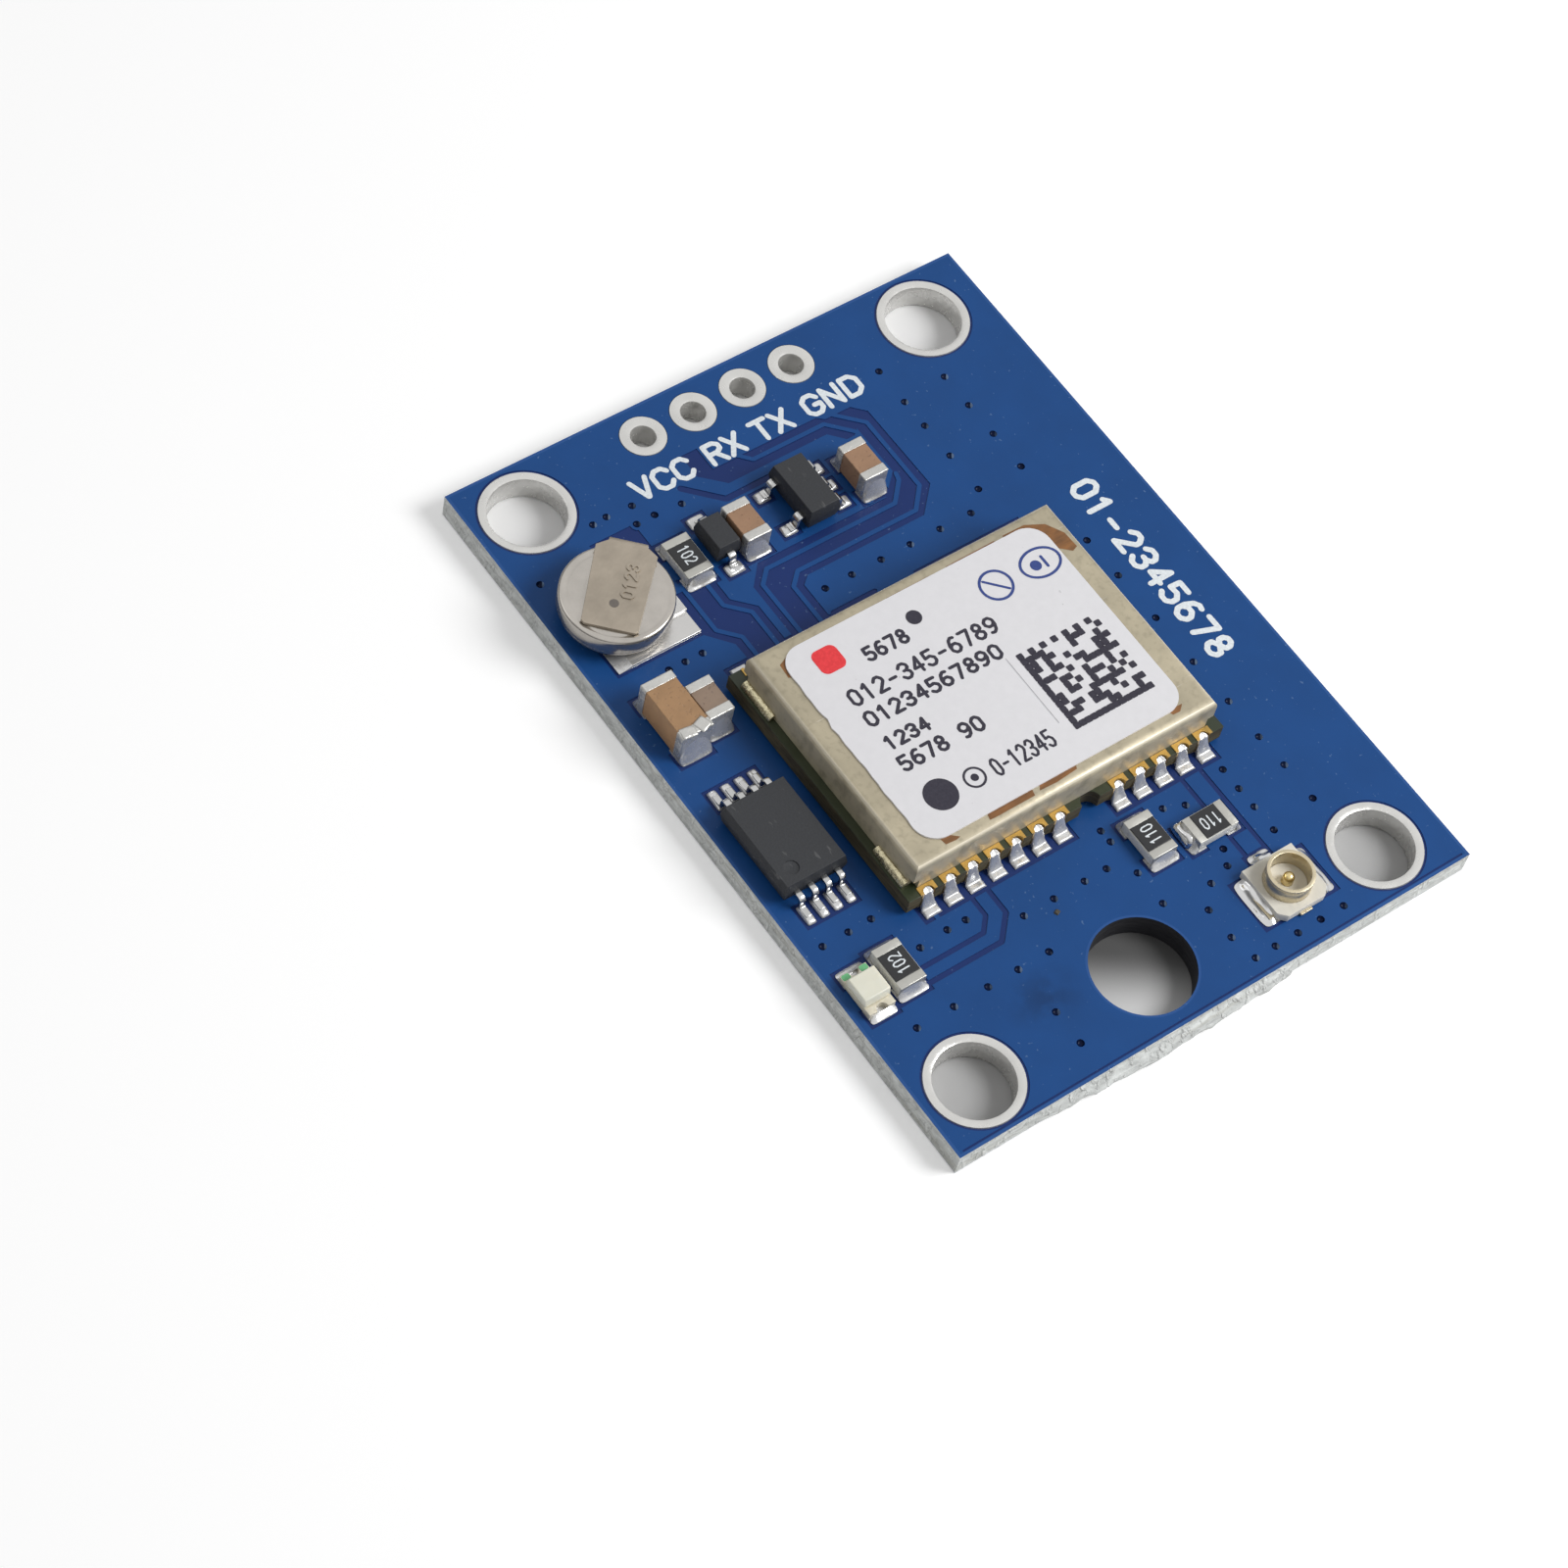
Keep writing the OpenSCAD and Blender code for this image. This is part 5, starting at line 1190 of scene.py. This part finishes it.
class RECEIVER_OT_board(bpy.types.Operator):
    """Builds the printed board: mask over traces, bare gaps, vias, sawn edges and the middle hole"""

    bl_idname = "receiver.board"
    bl_label = "Board"

    def execute(self, context):
        look = context.scene.board_look
        step, wide, via_r = look.trace_step / MM, look.trace_width / MM, look.via_radius / MM
        lo, hi = BOARD_LO, BOARD_HI
        whole = rect_points(lo.x, lo.y, hi.x, hi.y)
        field = rect_points(lo.x + EDGE_RIM, lo.y + EDGE_RIM, hi.x - EDGE_RIM, hi.y - EDGE_RIM)
        drawn = [part for path in TRACE_LINES for part in stroke(path, wide, 8)]
        drawn += [ring_points(spot, via_r + VIA_LAND, VIA_SIDES) for spot in VIAS]
        halo = ring_points(MIDDLE_AT, MIDDLE_HOLE + MIDDLE_RIM, MIDDLE_SIDES)
        holes = [ring_points(spot, via_r, VIA_SIDES) for spot in VIAS]
        holes += [ring_points(spot, MOUNT_RING, MOUNT_SIDES) for spot in MOUNT_AT]
        holes += [ring_points(spot, HEADER_RING, HEADER_SIDES) for spot in HEADER_AT]
        holes.append(ring_points(MIDDLE_AT, MIDDLE_HOLE, MIDDLE_SIDES))
        groups = (("board", [whole]), ("field", [field]), ("bare", self.bare()), ("trace", drawn),
                  ("rim", [halo]), ("hole", holes))
        outlines = [outline for _, group in groups for outline in group]
        kinds = [kind for kind, group in groups for _ in group]
        shape = Shape()
        self.top(shape, *overlay(outlines), kinds, step)
        flat, faces = overlay([whole] + holes)
        shape.add([(p.x, p.y, lo.z) for p in flat], [face[::-1] for face, over in faces if over == {0}])
        self.edges(shape)
        wall = [(MIDDLE_HOLE, z) for z in (BOARD_TOP, BOARD_TOP * 0.5, lo.z)]
        shape.add(*lathe(wall, MIDDLE_SIDES), turned(*MIDDLE_AT), 4)
        names = ["mask_copper", "mask_bare", "mask_rim", "sawn_laminate", "drilled_laminate"]
        mesh = shape.mesh("printed_board", names, closed=False, crease=20)
        piece("printed_board", mesh, "board_mask", "board")
        bowl = [(via_r, 0), (via_r * 0.92, -0.03), (via_r * 0.6, -0.09), (0, -0.12)]
        dome = [(r, -z) for r, z in bowl[::-1]]
        for name, profile, z in (("vias_top", bowl, BOARD_TOP), ("vias_under", dome, lo.z)):
            one = Shape().add(*lathe(profile, VIA_SIDES))
            mesh = repeated(name, one, [(*spot, z, 0) for spot in VIAS], "mask_via", closed=False)
            piece(name, mesh, "board_mask")
        return {"FINISHED"}

    def bare(self):
        """Outlines of the mask that has no copper under it."""
        lo, hi = BOARD_LO, BOARD_HI
        bare = [[Vector(p) for p in area] for area in BARE_AREAS] + pad_clearances()
        bare += [ring_points(spot, MOUNT_RING + RING_GAP, MOUNT_SIDES) for spot in MOUNT_AT]
        for width, path in BARE_LINES:
            bare += stroke(path, width, 8)
        y = lo.y + EDGE_LINE_IN
        return bare + stroke([(lo.x + EDGE_LINE_END, y), (hi.x - EDGE_LINE_END, y)], EDGE_LINE_WIDTH, 6)

    def top(self, shape, flat, faces, kinds, step):
        """The upper face: copper stands a step above the bare gaps, with walls between."""
        marks, borders = {}, {}
        for number, (face, over) in enumerate(faces):
            over = {kinds[k] for k in over}
            if "hole" in over or "board" not in over:
                continue
            if "field" not in over or "rim" in over:
                marks[number] = 2
            elif "bare" in over and "trace" not in over:
                marks[number] = 1
            else:
                marks[number] = 0
        points, index = [], {}

        def vertex(i, level):
            if (i, level) not in index:
                index[i, level] = len(points)
                points.append((flat[i].x, flat[i].y, BOARD_TOP - step * level))
            return index[i, level]

        made, made_marks = [], []
        for number, mark in marks.items():
            face = faces[number][0]
            level = 1 if mark == 1 else 0
            made.append([vertex(i, level) for i in face])
            made_marks.append(mark)
            for a, b in zip(face, face[1:] + face[:1]):
                borders.setdefault(frozenset((a, b)), []).append((level, a, b))
        for sides in borders.values():
            if len(sides) == 2 and sides[0][0] != sides[1][0]:
                _, a, b = max(sides)
                made.append([vertex(b, 1), vertex(a, 1), vertex(a, 0), vertex(b, 0)][::-1])
                made_marks.append(1)
        shape.add(points, made, mark=made_marks)

    def edges(self, shape):
        """The four sawn edges, slightly uneven between their upper and lower lines, and the stub."""
        rng = random.Random(3)
        lo, hi = BOARD_LO, BOARD_HI
        ends = [(lo.x, lo.y), (hi.x, lo.y), (hi.x, hi.y), (lo.x, hi.y)]
        levels = [hi.z, hi.z - 0.14, hi.z - 0.42, hi.z - 0.7, lo.z + 0.22, lo.z]
        row = len(levels)
        for (ax, ay), (bx, by) in zip(ends, ends[1:] + ends[:1]):
            run = Vector((bx - ax, by - ay))
            inward = Vector((-run.y, run.x)).normalized()
            count = max(2, int(run.length / 0.3))
            points, faces = [], []
            for i in range(count + 1):
                for k, z in enumerate(levels):
                    spot = Vector((ax, ay)) + run * (i / count)
                    if 0 < k < row - 1 and 0 < i < count:
                        spot += inward * rng.uniform(0.0, 0.07)
                        if by == ay == lo.y:
                            spot -= inward * stub_reach(spot.x, k) * STUB_SHARES[k]
                    points.append((spot.x, spot.y, z))
            for i in range(count):
                for k in range(row - 1):
                    a = i * row + k
                    faces.append([a, a + 1, a + row + 1, a + row])
            shape.add(points, faces, mark=3)


class RECEIVER_OT_plating(bpy.types.Operator):
    """Sets the tinned rings of the mounting holes and header holes"""

    bl_idname = "receiver.plating"
    bl_label = "Hole plating"

    def execute(self, context):
        half, rise = BOARD_TOP / 2, 0.03
        for name, ring, hole, spots, count in (
            ("mounting_hole_plating", MOUNT_RING, MOUNT_HOLE, MOUNT_AT, MOUNT_SIDES),
            ("header_hole_plating", HEADER_RING, HEADER_HOLE, HEADER_AT, HEADER_SIDES),
        ):
            upper = [(ring, half - 0.04), (ring - 0.03, half + rise * 0.6),
                     (ring * 0.62 + hole * 0.38, half + rise), (hole + 0.12, half + rise * 0.8),
                     (hole + 0.03, half - 0.01), (hole, half - 0.09)]
            profile = upper + [(r, -z) for r, z in upper[::-1]] + upper[:1]
            one = Shape().add(*lathe(profile, count))
            places = [(*spot, half, 37 * i) for i, spot in enumerate(spots)]
            mesh = repeated(name + "_rings", one, places, "tin_plating")
            piece(name + "_rings", mesh, SLOTS[name], name)
        return {"FINISHED"}


BARREL_R = 0.252
JOINT_HALF, JOINT_REACH, JOINT_RISE = 0.38, 0.6, 0.92


class RECEIVER_OT_module(bpy.types.Operator):
    """Builds the receiver module: carrier board, castellations, solder joints and shield can"""

    bl_idname = "receiver.module"
    bl_label = "Receiver module"

    def execute(self, context):
        dressed("receiver_board", "carrier_board", bevel=0.02, segments=1)
        dressed("receiver_castellations", "gold_plating")
        joints = Shape()
        for side, (edge, angle) in enumerate(((MODULE_LO.y, 0), (MODULE_HI.y, 180))):
            for i, x in enumerate(CASTELLATION_X):
                place = turned(MODULE_LO.x + x, edge, BOARD_TOP + SOLDER_LIFT, angle)
                joint = barrel_joint(BARREL_R, JOINT_HALF, JOINT_REACH, JOINT_RISE, 100 * side + i)
                joints.add(*joint, place)
                joints.add(*slab(rect_points(-0.37, 0.02, 0.37, 0.9), -0.01, 0.12), place)
        soldered("module_joints", joints, "solder", "receiver_solder_joints")
        dressed("receiver_shield_can", "can_sheet", crease=30)
        dressed("receiver_can_solder", "bead_solder", bevel=0.05, segments=3)
        for name, finish_name in (("chip", "chip_resin"), ("band_filter", "lead_metal"),
                                  ("reference_crystal", "lead_metal"), ("clock_crystal", "lead_metal"),
                                  ("choke", "chip_resin")):
            dressed("receiver_" + name, finish_name, bevel=0.03)
        return {"FINISHED"}


# Print of the label: text, left, right, bottom, top, width of the strokes
LABEL_LINES = [
    ("012-345-6789", -5.81, 1.56, -0.46, 0.38, 0.14),
    ("01234567890", -5.85, 0.94, -1.55, -0.775, 0.145),
    ("1234", -5.85, -3.65, -2.8, -2.09, 0.145),
    ("5678 90", -5.91, -1.75, -3.9, -3.125, 0.145),
    ("0-12345", -2.81, 0.225, -5.96, -5.09, 0.115),
    ("5678", -4.05, -1.9, 0.98, 1.72, 0.145),
]
# Dots of the label: centre, radius, sides
LABEL_DOTS = [((-5.29, -5.4), 0.73, 48), ((-3.66, -5.46), 0.17, 24), ((-1.21, 1.85), 0.34, 32)]
CODE_AT, CODE_SIZE, CODE_FILL = (1.225, -5.775), 4.05, 0.47
GLUE_PATCHES = [
    [(-2.85, 3.0), (-2.8, 3.19), (-1.95, 3.18), (-1.9, 3.0)],
    [(-1.7, 3.0), (-1.6, 3.2), (0.55, 3.2), (0.62, 3.0)],
    [(1.3, 3.0), (1.45, 3.22), (3.9, 3.24), (4.1, 3.1), (4.05, 2.98)],
    [(4.35, 2.95), (4.4, 3.27), (5.5, 3.25), (6.3, 2.85), (6.75, 2.1), (6.78, 1.3), (6.5, 1.2), (6.0, 1.65),
     (5.9, 2.2), (5.6, 2.75), (5.0, 3.0)],
    [(-7.25, 2.1), (-7.2, 2.75), (-6.75, 2.95), (-6.6, 2.7), (-7.05, 2.0)],
    [(-6.5, -7.0), (-6.45, -7.3), (-5.95, -7.34), (-5.75, -7.3), (-6.1, -7.0)],
    [(-4.2, -6.95), (-4.28, -7.3), (-3.9, -7.32), (-2.05, -7.32), (-1.98, -7.0)],
    [(-1.55, -6.95), (-1.75, -7.24), (-0.9, -7.28), (0.15, -7.2), (0.22, -7.05)],
    [(5.0, -6.9), (5.1, -7.18), (5.45, -7.2), (5.75, -6.95)],
]


class RECEIVER_OT_label(bpy.types.Operator):
    """Lays the paper label on the can and prints it"""

    bl_idname = "receiver.label"
    bl_label = "Label"

    def execute(self, context):
        lo, hi = corners("receiver_label")
        z = hi.z + PRINT_LIFT
        self.paper(lo, hi)
        lines = [lettering(*line) for line in LABEL_LINES]
        dots = [ring_points(*dot) for dot in LABEL_DOTS]
        ring = ring_points(LABEL_DOTS[1][0], 0.44, 36)
        groups = lines[:4] + [dots[:1]] + lines[4:] + [stroke(ring + ring[:1], 0.1, 6), dots[1:]]
        black = [outline for group in groups for outline in group]
        printed("label_print", black, z, "label_ink", "label_paper")
        line = stroke([(0.81, -1.65), (0.81, -5.15)], 0.035, 6)
        printed("label_line", line, z, "label_grey_ink", "label_paper")
        blue = []
        for x, y, rx, ry in ((2.65, 1.41, 0.7, 0.7), (4.91, 1.39, 0.92, 0.68)):
            angles = [math.tau * i / 40 for i in range(41)]
            blue += stroke([(x + rx * math.cos(a), y + ry * math.sin(a)) for a in angles], 0.12, 6)
        blue += stroke([(2.25, 1.82), (3.05, 1.0)], 0.11, 8)
        blue.append(ring_points((4.66, 1.36), 0.25, 24))
        blue += stroke([(5.1, 1.62), (5.1, 1.1)], 0.13, 8)
        printed("label_marks", blue, z, "label_blue_ink", "label_paper")
        square = round_rect(-5.98, 1.36, -4.8, 2.54, 0.32)
        printed("label_red_mark", [square], z, "label_red_ink", "label_paper")
        self.code(context.scene.module_look, z)
        self.glue(lo.z + THIN_LIFT)
        return {"FINISHED"}

    def paper(self, lo, hi):
        """A paper slab with a torn, wavy left edge."""
        outline = round_rect(lo.x + 0.06, lo.y, hi.x, hi.y, 1.0, 10)
        fine = []
        for a, b in zip(outline, outline[1:] + outline[:1]):
            count = max(1, int((b - a).length / 0.22))
            fine += [a + (b - a) * (i / count) for i in range(count)]
        for p in fine:
            if p.x < lo.x + 0.1:
                nick = 0.06 * math.exp(-((p.y + 0.75) / 0.22) ** 2)
                nick -= 0.05 * math.exp(-((p.y + 0.35) / 0.16) ** 2)
                p.x -= 0.018 * math.sin(p.y * 2.6) + 0.012 * math.sin(p.y * 7.1) + nick
        shape = Shape().add(*slab(fine, lo.z, hi.z))
        piece("paper_label", shape.mesh("paper_label", ["label_paper"]), "label_paper", "receiver_label")

    def code(self, look, z):
        """A square of dark cells, filled by a fixed seed."""
        side = look.code_side
        last = side - 1
        rng = random.Random(look.code_seed)
        cell = CODE_SIZE / side
        spots = []
        for r in range(side):
            for c in range(side):
                edge = c == 0 or r == 0 or (r == last and c % 2 == 0) or (c == last and r % 2 == 0)
                inner = 0 < c < last and 0 < r < last and rng.random() < CODE_FILL
                if edge or inner:
                    spots.append((CODE_AT[0] + (c + 0.5) * cell, CODE_AT[1] + (r + 0.5) * cell, z, 0))
        half = cell * 0.515
        outline = round_rect(-half, -half, half, half, 0.05, 2)
        one = Shape().add([(p.x, p.y, 0) for p in outline], [list(range(len(outline)))])
        piece("label_code", repeated("label_code", one, spots, "label_ink", closed=False), "label_paper")

    def glue(self, z):
        """Old brown glue on the can round the label."""
        patches = []
        for patch in GLUE_PATCHES:
            area = sum(a[0] * b[1] - b[0] * a[1] for a, b in zip(patch, patch[1:] + patch[:1]))
            patches.append(patch if area > 0 else patch[::-1])
        printed("label_glue", patches, z, "old_glue", "label_paper")


class RECEIVER_OT_cell(bpy.types.Operator):
    """Builds the backup cell with its welded tabs and solder"""

    bl_idname = "receiver.cell"
    bl_label = "Backup cell"

    def execute(self, context):
        lo, hi = corners("backup_cell")
        mid, r, h = (lo + hi) / 2, (hi.x - lo.x) / 2, hi.z - lo.z
        cap = [(0, 0), (r - 0.3, 0), (r - 0.2, 0.03), (r - 0.12, 0.12), (r - 0.08, 0.26), (r - 0.08, 0.34),
               (r - 0.13, 0.37), (r - 0.13, 0.4)]
        wall = [(r - 0.03, 0.42), (r, 0.48), (r, h - 0.16), (r - 0.015, h - 0.09), (r - 0.05, h - 0.035)]
        crown = [(r - 0.11, h - 0.005), (r - 0.17, h), (r - 0.24, h - 0.004), (r - 0.29, h - 0.02),
                 (r - 0.34, h - 0.026), (r - 0.4, h - 0.008), (r - 0.46, h), (0, h)]
        shape = Shape().add(*lathe(cap + wall + crown, 96), turned(mid.x, mid.y, lo.z))
        mesh = shape.mesh("sealed_cell", ["cell_steel"], crease=50)
        piece("sealed_cell", mesh, "cell_steel", "backup_cell")
        dressed("backup_cell_top_tab", "cell_tab", bevel=0.025)
        dressed("backup_cell_bottom_tab", "cell_tab_bright", bevel=0.03)
        dressed("backup_cell_solder", "solder", bevel=0.03)
        strip = turned(mid.x, mid.y, corners("backup_cell_top_tab")[1].z, 45)
        dot = Shape().add(*sheet([ring_points((-0.62, 0.03), 0.2, 32)], THIN_LIFT), strip)
        piece("tab_dot", dot.mesh("tab_dot", ["tab_spot"], closed=False), "cell_tab")
        digits = self.digits(strip @ turned(0.6, -0.42))
        piece("tab_digits", digits.mesh("tab_digits", ["cell_tab"], closed=False, crease=20), "cell_tab")
        return {"FINISHED"}

    def digits(self, place):
        """Digits pressed up out of the tab, with walls round each stroke."""
        flat, faces = overlay(lettering("0123", -0.88, 0.88, -0.29, 0.29, 0.1))
        tops = [face for face, _ in faces]
        sides = {pair: None for face in tops for pair in zip(face, face[1:] + face[:1])}
        count = len(flat)
        points = [(p.x, p.y, z) for z in (0.045, -0.02) for p in flat]
        walls = [[p, p + count, q + count, q] for p, q in sides if (q, p) not in sides]
        return Shape().add(points, tops + walls, place)


class RECEIVER_OT_chips(bpy.types.Operator):
    """Dresses the moulded chips with their leads and solder"""

    bl_idname = "receiver.chips"
    bl_label = "Moulded chips"

    def execute(self, context):
        for name in ("memory", "regulator", "diode"):
            dressed(name + "_body", "chip_resin", bevel=0.035)
            dressed(name + "_leads", "lead_metal", bevel=0.02)
            pools(name + "_solder", 0.13)
        return {"FINISHED"}


class RECEIVER_OT_capacitors(bpy.types.Operator):
    """Dresses the ceramic capacitors and their solder"""

    bl_idname = "receiver.capacitors"
    bl_label = "Capacitors"

    def execute(self, context):
        bodies = {"output": "capacitor_tan", "input": "capacitor_tan", "reservoir": "capacitor_orange",
                  "bypass": "capacitor_grey"}
        for name, body in bodies.items():
            dressed(name + "_capacitor_body", body, bevel=0.04)
            dressed(name + "_capacitor_ends", "wetted_tin", bevel=0.09, segments=4)
        lo, hi = corners("reservoir_capacitor_ends")
        z = hi.z - 0.004
        wet = Shape()
        wet.add(*puddle(0.3, 0.3, 0.06, 4), turned(hi.x - 0.42, lo.y + 0.24, z, 20))
        wet.add(*puddle(0.34, 0.26, 0.05, 6), turned(lo.x + 0.4, lo.y + 0.2, z, -8))
        soldered("capacitor_wetting", wet, "wetted_tin")
        fillets("capacitor_solder", [name + "_capacitor_ends" for name in bodies], 0.68, 0.05)
        return {"FINISHED"}


class RECEIVER_OT_resistors(bpy.types.Operator):
    """Dresses the chip resistors, prints their values and adds their solder"""

    bl_idname = "receiver.resistors"
    bl_label = "Resistors"

    def execute(self, context):
        values = {"pullup": ("102", 270), "lamp": ("102", 90), "feed": ("110", 90), "series": ("110", 180)}
        ink = Shape()
        for name, (value, angle) in values.items():
            dressed(name + "_resistor_base", "resistor_ceramic", bevel=0.02)
            dressed(name + "_resistor_overcoat", "resistor_coat", bevel=0.03)
            dressed(name + "_resistor_ends", "end_cap_tin", bevel=0.03)
            lo, hi = corners(name + "_resistor_overcoat")
            mid = (lo + hi) / 2
            digits = sheet(lettering(value, -0.45, 0.45, -0.29, 0.29, 0.062), 0)
            ink.add(*digits, turned(mid.x, mid.y, hi.z + THIN_LIFT, angle))
        mesh = ink.mesh("resistor_values", ["board_ink"], closed=False)
        piece("resistor_values", mesh, "resistor_overcoat")
        blob = Shape().add(*puddle(0.46, 0.64, 0.5, 9), turned(3.5, -10.93, BOARD_TOP + SOLDER_LIFT))
        soldered("resistor_blob", blob, "bright_solder")
        fillets("resistor_solder", [name + "_resistor_ends" for name in values], 0.75)
        return {"FINISHED"}


class RECEIVER_OT_lamp(bpy.types.Operator):
    """Dresses the indicator lamp"""

    bl_idname = "receiver.lamp"
    bl_label = "Indicator lamp"

    def execute(self, context):
        dressed("lamp_base", "lamp_board", bevel=0.015)
        dressed("lamp_lens", "lamp_resin", bevel=0.06, segments=3)
        dressed("lamp_ends", "lamp_plating", bevel=0.012)
        lo, hi = corners("lamp_ends")
        mid = (lo.x + hi.x) / 2
        spans = ((lo.x + 0.02, mid - 0.24), (mid + 0.24, hi.x - 0.02))
        marks = [round_rect(x0, hi.y - 0.28, x1, hi.y - 0.02, 0.08, 4) for x0, x1 in spans]
        printed("lamp_marks", marks, hi.z + THIN_LIFT, "lamp_green", "lamp_plating")
        fillets("lamp_solder", ["lamp_ends"], 0.35)
        return {"FINISHED"}


class RECEIVER_OT_socket(bpy.types.Operator):
    """Dresses the coax antenna socket"""

    bl_idname = "receiver.socket"
    bl_label = "Antenna socket"

    def execute(self, context):
        dressed("antenna_socket_base", "socket_resin", bevel=0.02)
        dressed("antenna_socket_shell", "socket_shell", bevel=0.018)
        dressed("antenna_socket_contact", "contact_gold", bevel=0.015)
        fillets("antenna_socket_solder", ["antenna_socket_base"], 0.6, 0.16, "bright_solder")
        return {"FINISHED"}


class RECEIVER_OT_print(bpy.types.Operator):
    """Prints the lettering on the board and adds a crumb of dirt"""

    bl_idname = "receiver.board_print"
    bl_label = "Board print"

    def execute(self, context):
        names = (("VCC", -6.19, -3.24), ("RX", -2.5, -0.67), ("TX", -0.14, 1.79), ("GND", 2.5, 5.52))
        across = []
        for text, x0, x1 in names:
            across += lettering(text, x0, x1, 13.33, 14.52, 0.225)
        down = [[Vector((p.y + 10.44, -p.x)) for p in outline]
                for outline in lettering("01-2345678", -5.07, 5.0, -0.68, 0.68, 0.255)]
        printed("board_print", across + down, BOARD_TOP + PRINT_LIFT, "board_ink", "board_mask")
        crumb = Shape().add(*puddle(0.13, 0.1, 0.09, 3, 6, 6), turned(-3.2, -11.05, BOARD_TOP, 25))
        piece("dust_crumb", crumb.mesh("dust_crumb", ["dirt"]), "board_mask")
        return {"FINISHED"}


class RECEIVER_PT_panel(bpy.types.Panel):
    """Lists the pieces of the receiver board"""

    bl_idname = "RECEIVER_PT_panel"
    bl_label = "Receiver board"
    bl_space_type = "VIEW_3D"
    bl_region_type = "UI"
    bl_category = "Receiver board"

    def draw(self, context):
        column = self.layout.column()
        for each in PIECES:
            column.operator(each.bl_idname)
        for group in GROUPS:
            look = getattr(context.scene, group)
            for key in look.__annotations__:
                column.prop(look, key)


GROUPS = {
    "board_look": BoardLook,
    "module_look": ModuleLook,
    "parts_look": PartsLook,
    "studio_look": StudioLook,
}
PIECES = [
    RECEIVER_OT_stage,
    RECEIVER_OT_board,
    RECEIVER_OT_plating,
    RECEIVER_OT_module,
    RECEIVER_OT_label,
    RECEIVER_OT_cell,
    RECEIVER_OT_chips,
    RECEIVER_OT_capacitors,
    RECEIVER_OT_resistors,
    RECEIVER_OT_lamp,
    RECEIVER_OT_socket,
    RECEIVER_OT_print,
]


def register():
    for each in (*GROUPS.values(), *PIECES, RECEIVER_PT_panel):
        bpy.utils.register_class(each)
    for name, group in GROUPS.items():
        setattr(bpy.types.Scene, name, PointerProperty(type=group))


def unregister():
    for name in GROUPS:
        delattr(bpy.types.Scene, name)
    for each in reversed((*GROUPS.values(), *PIECES, RECEIVER_PT_panel)):
        bpy.utils.unregister_class(each)


def main():
    register()
    for each in PIECES:
        family, name = each.bl_idname.split(".")
        getattr(getattr(bpy.ops, family), name)()


if __name__ == "__main__":
    main()
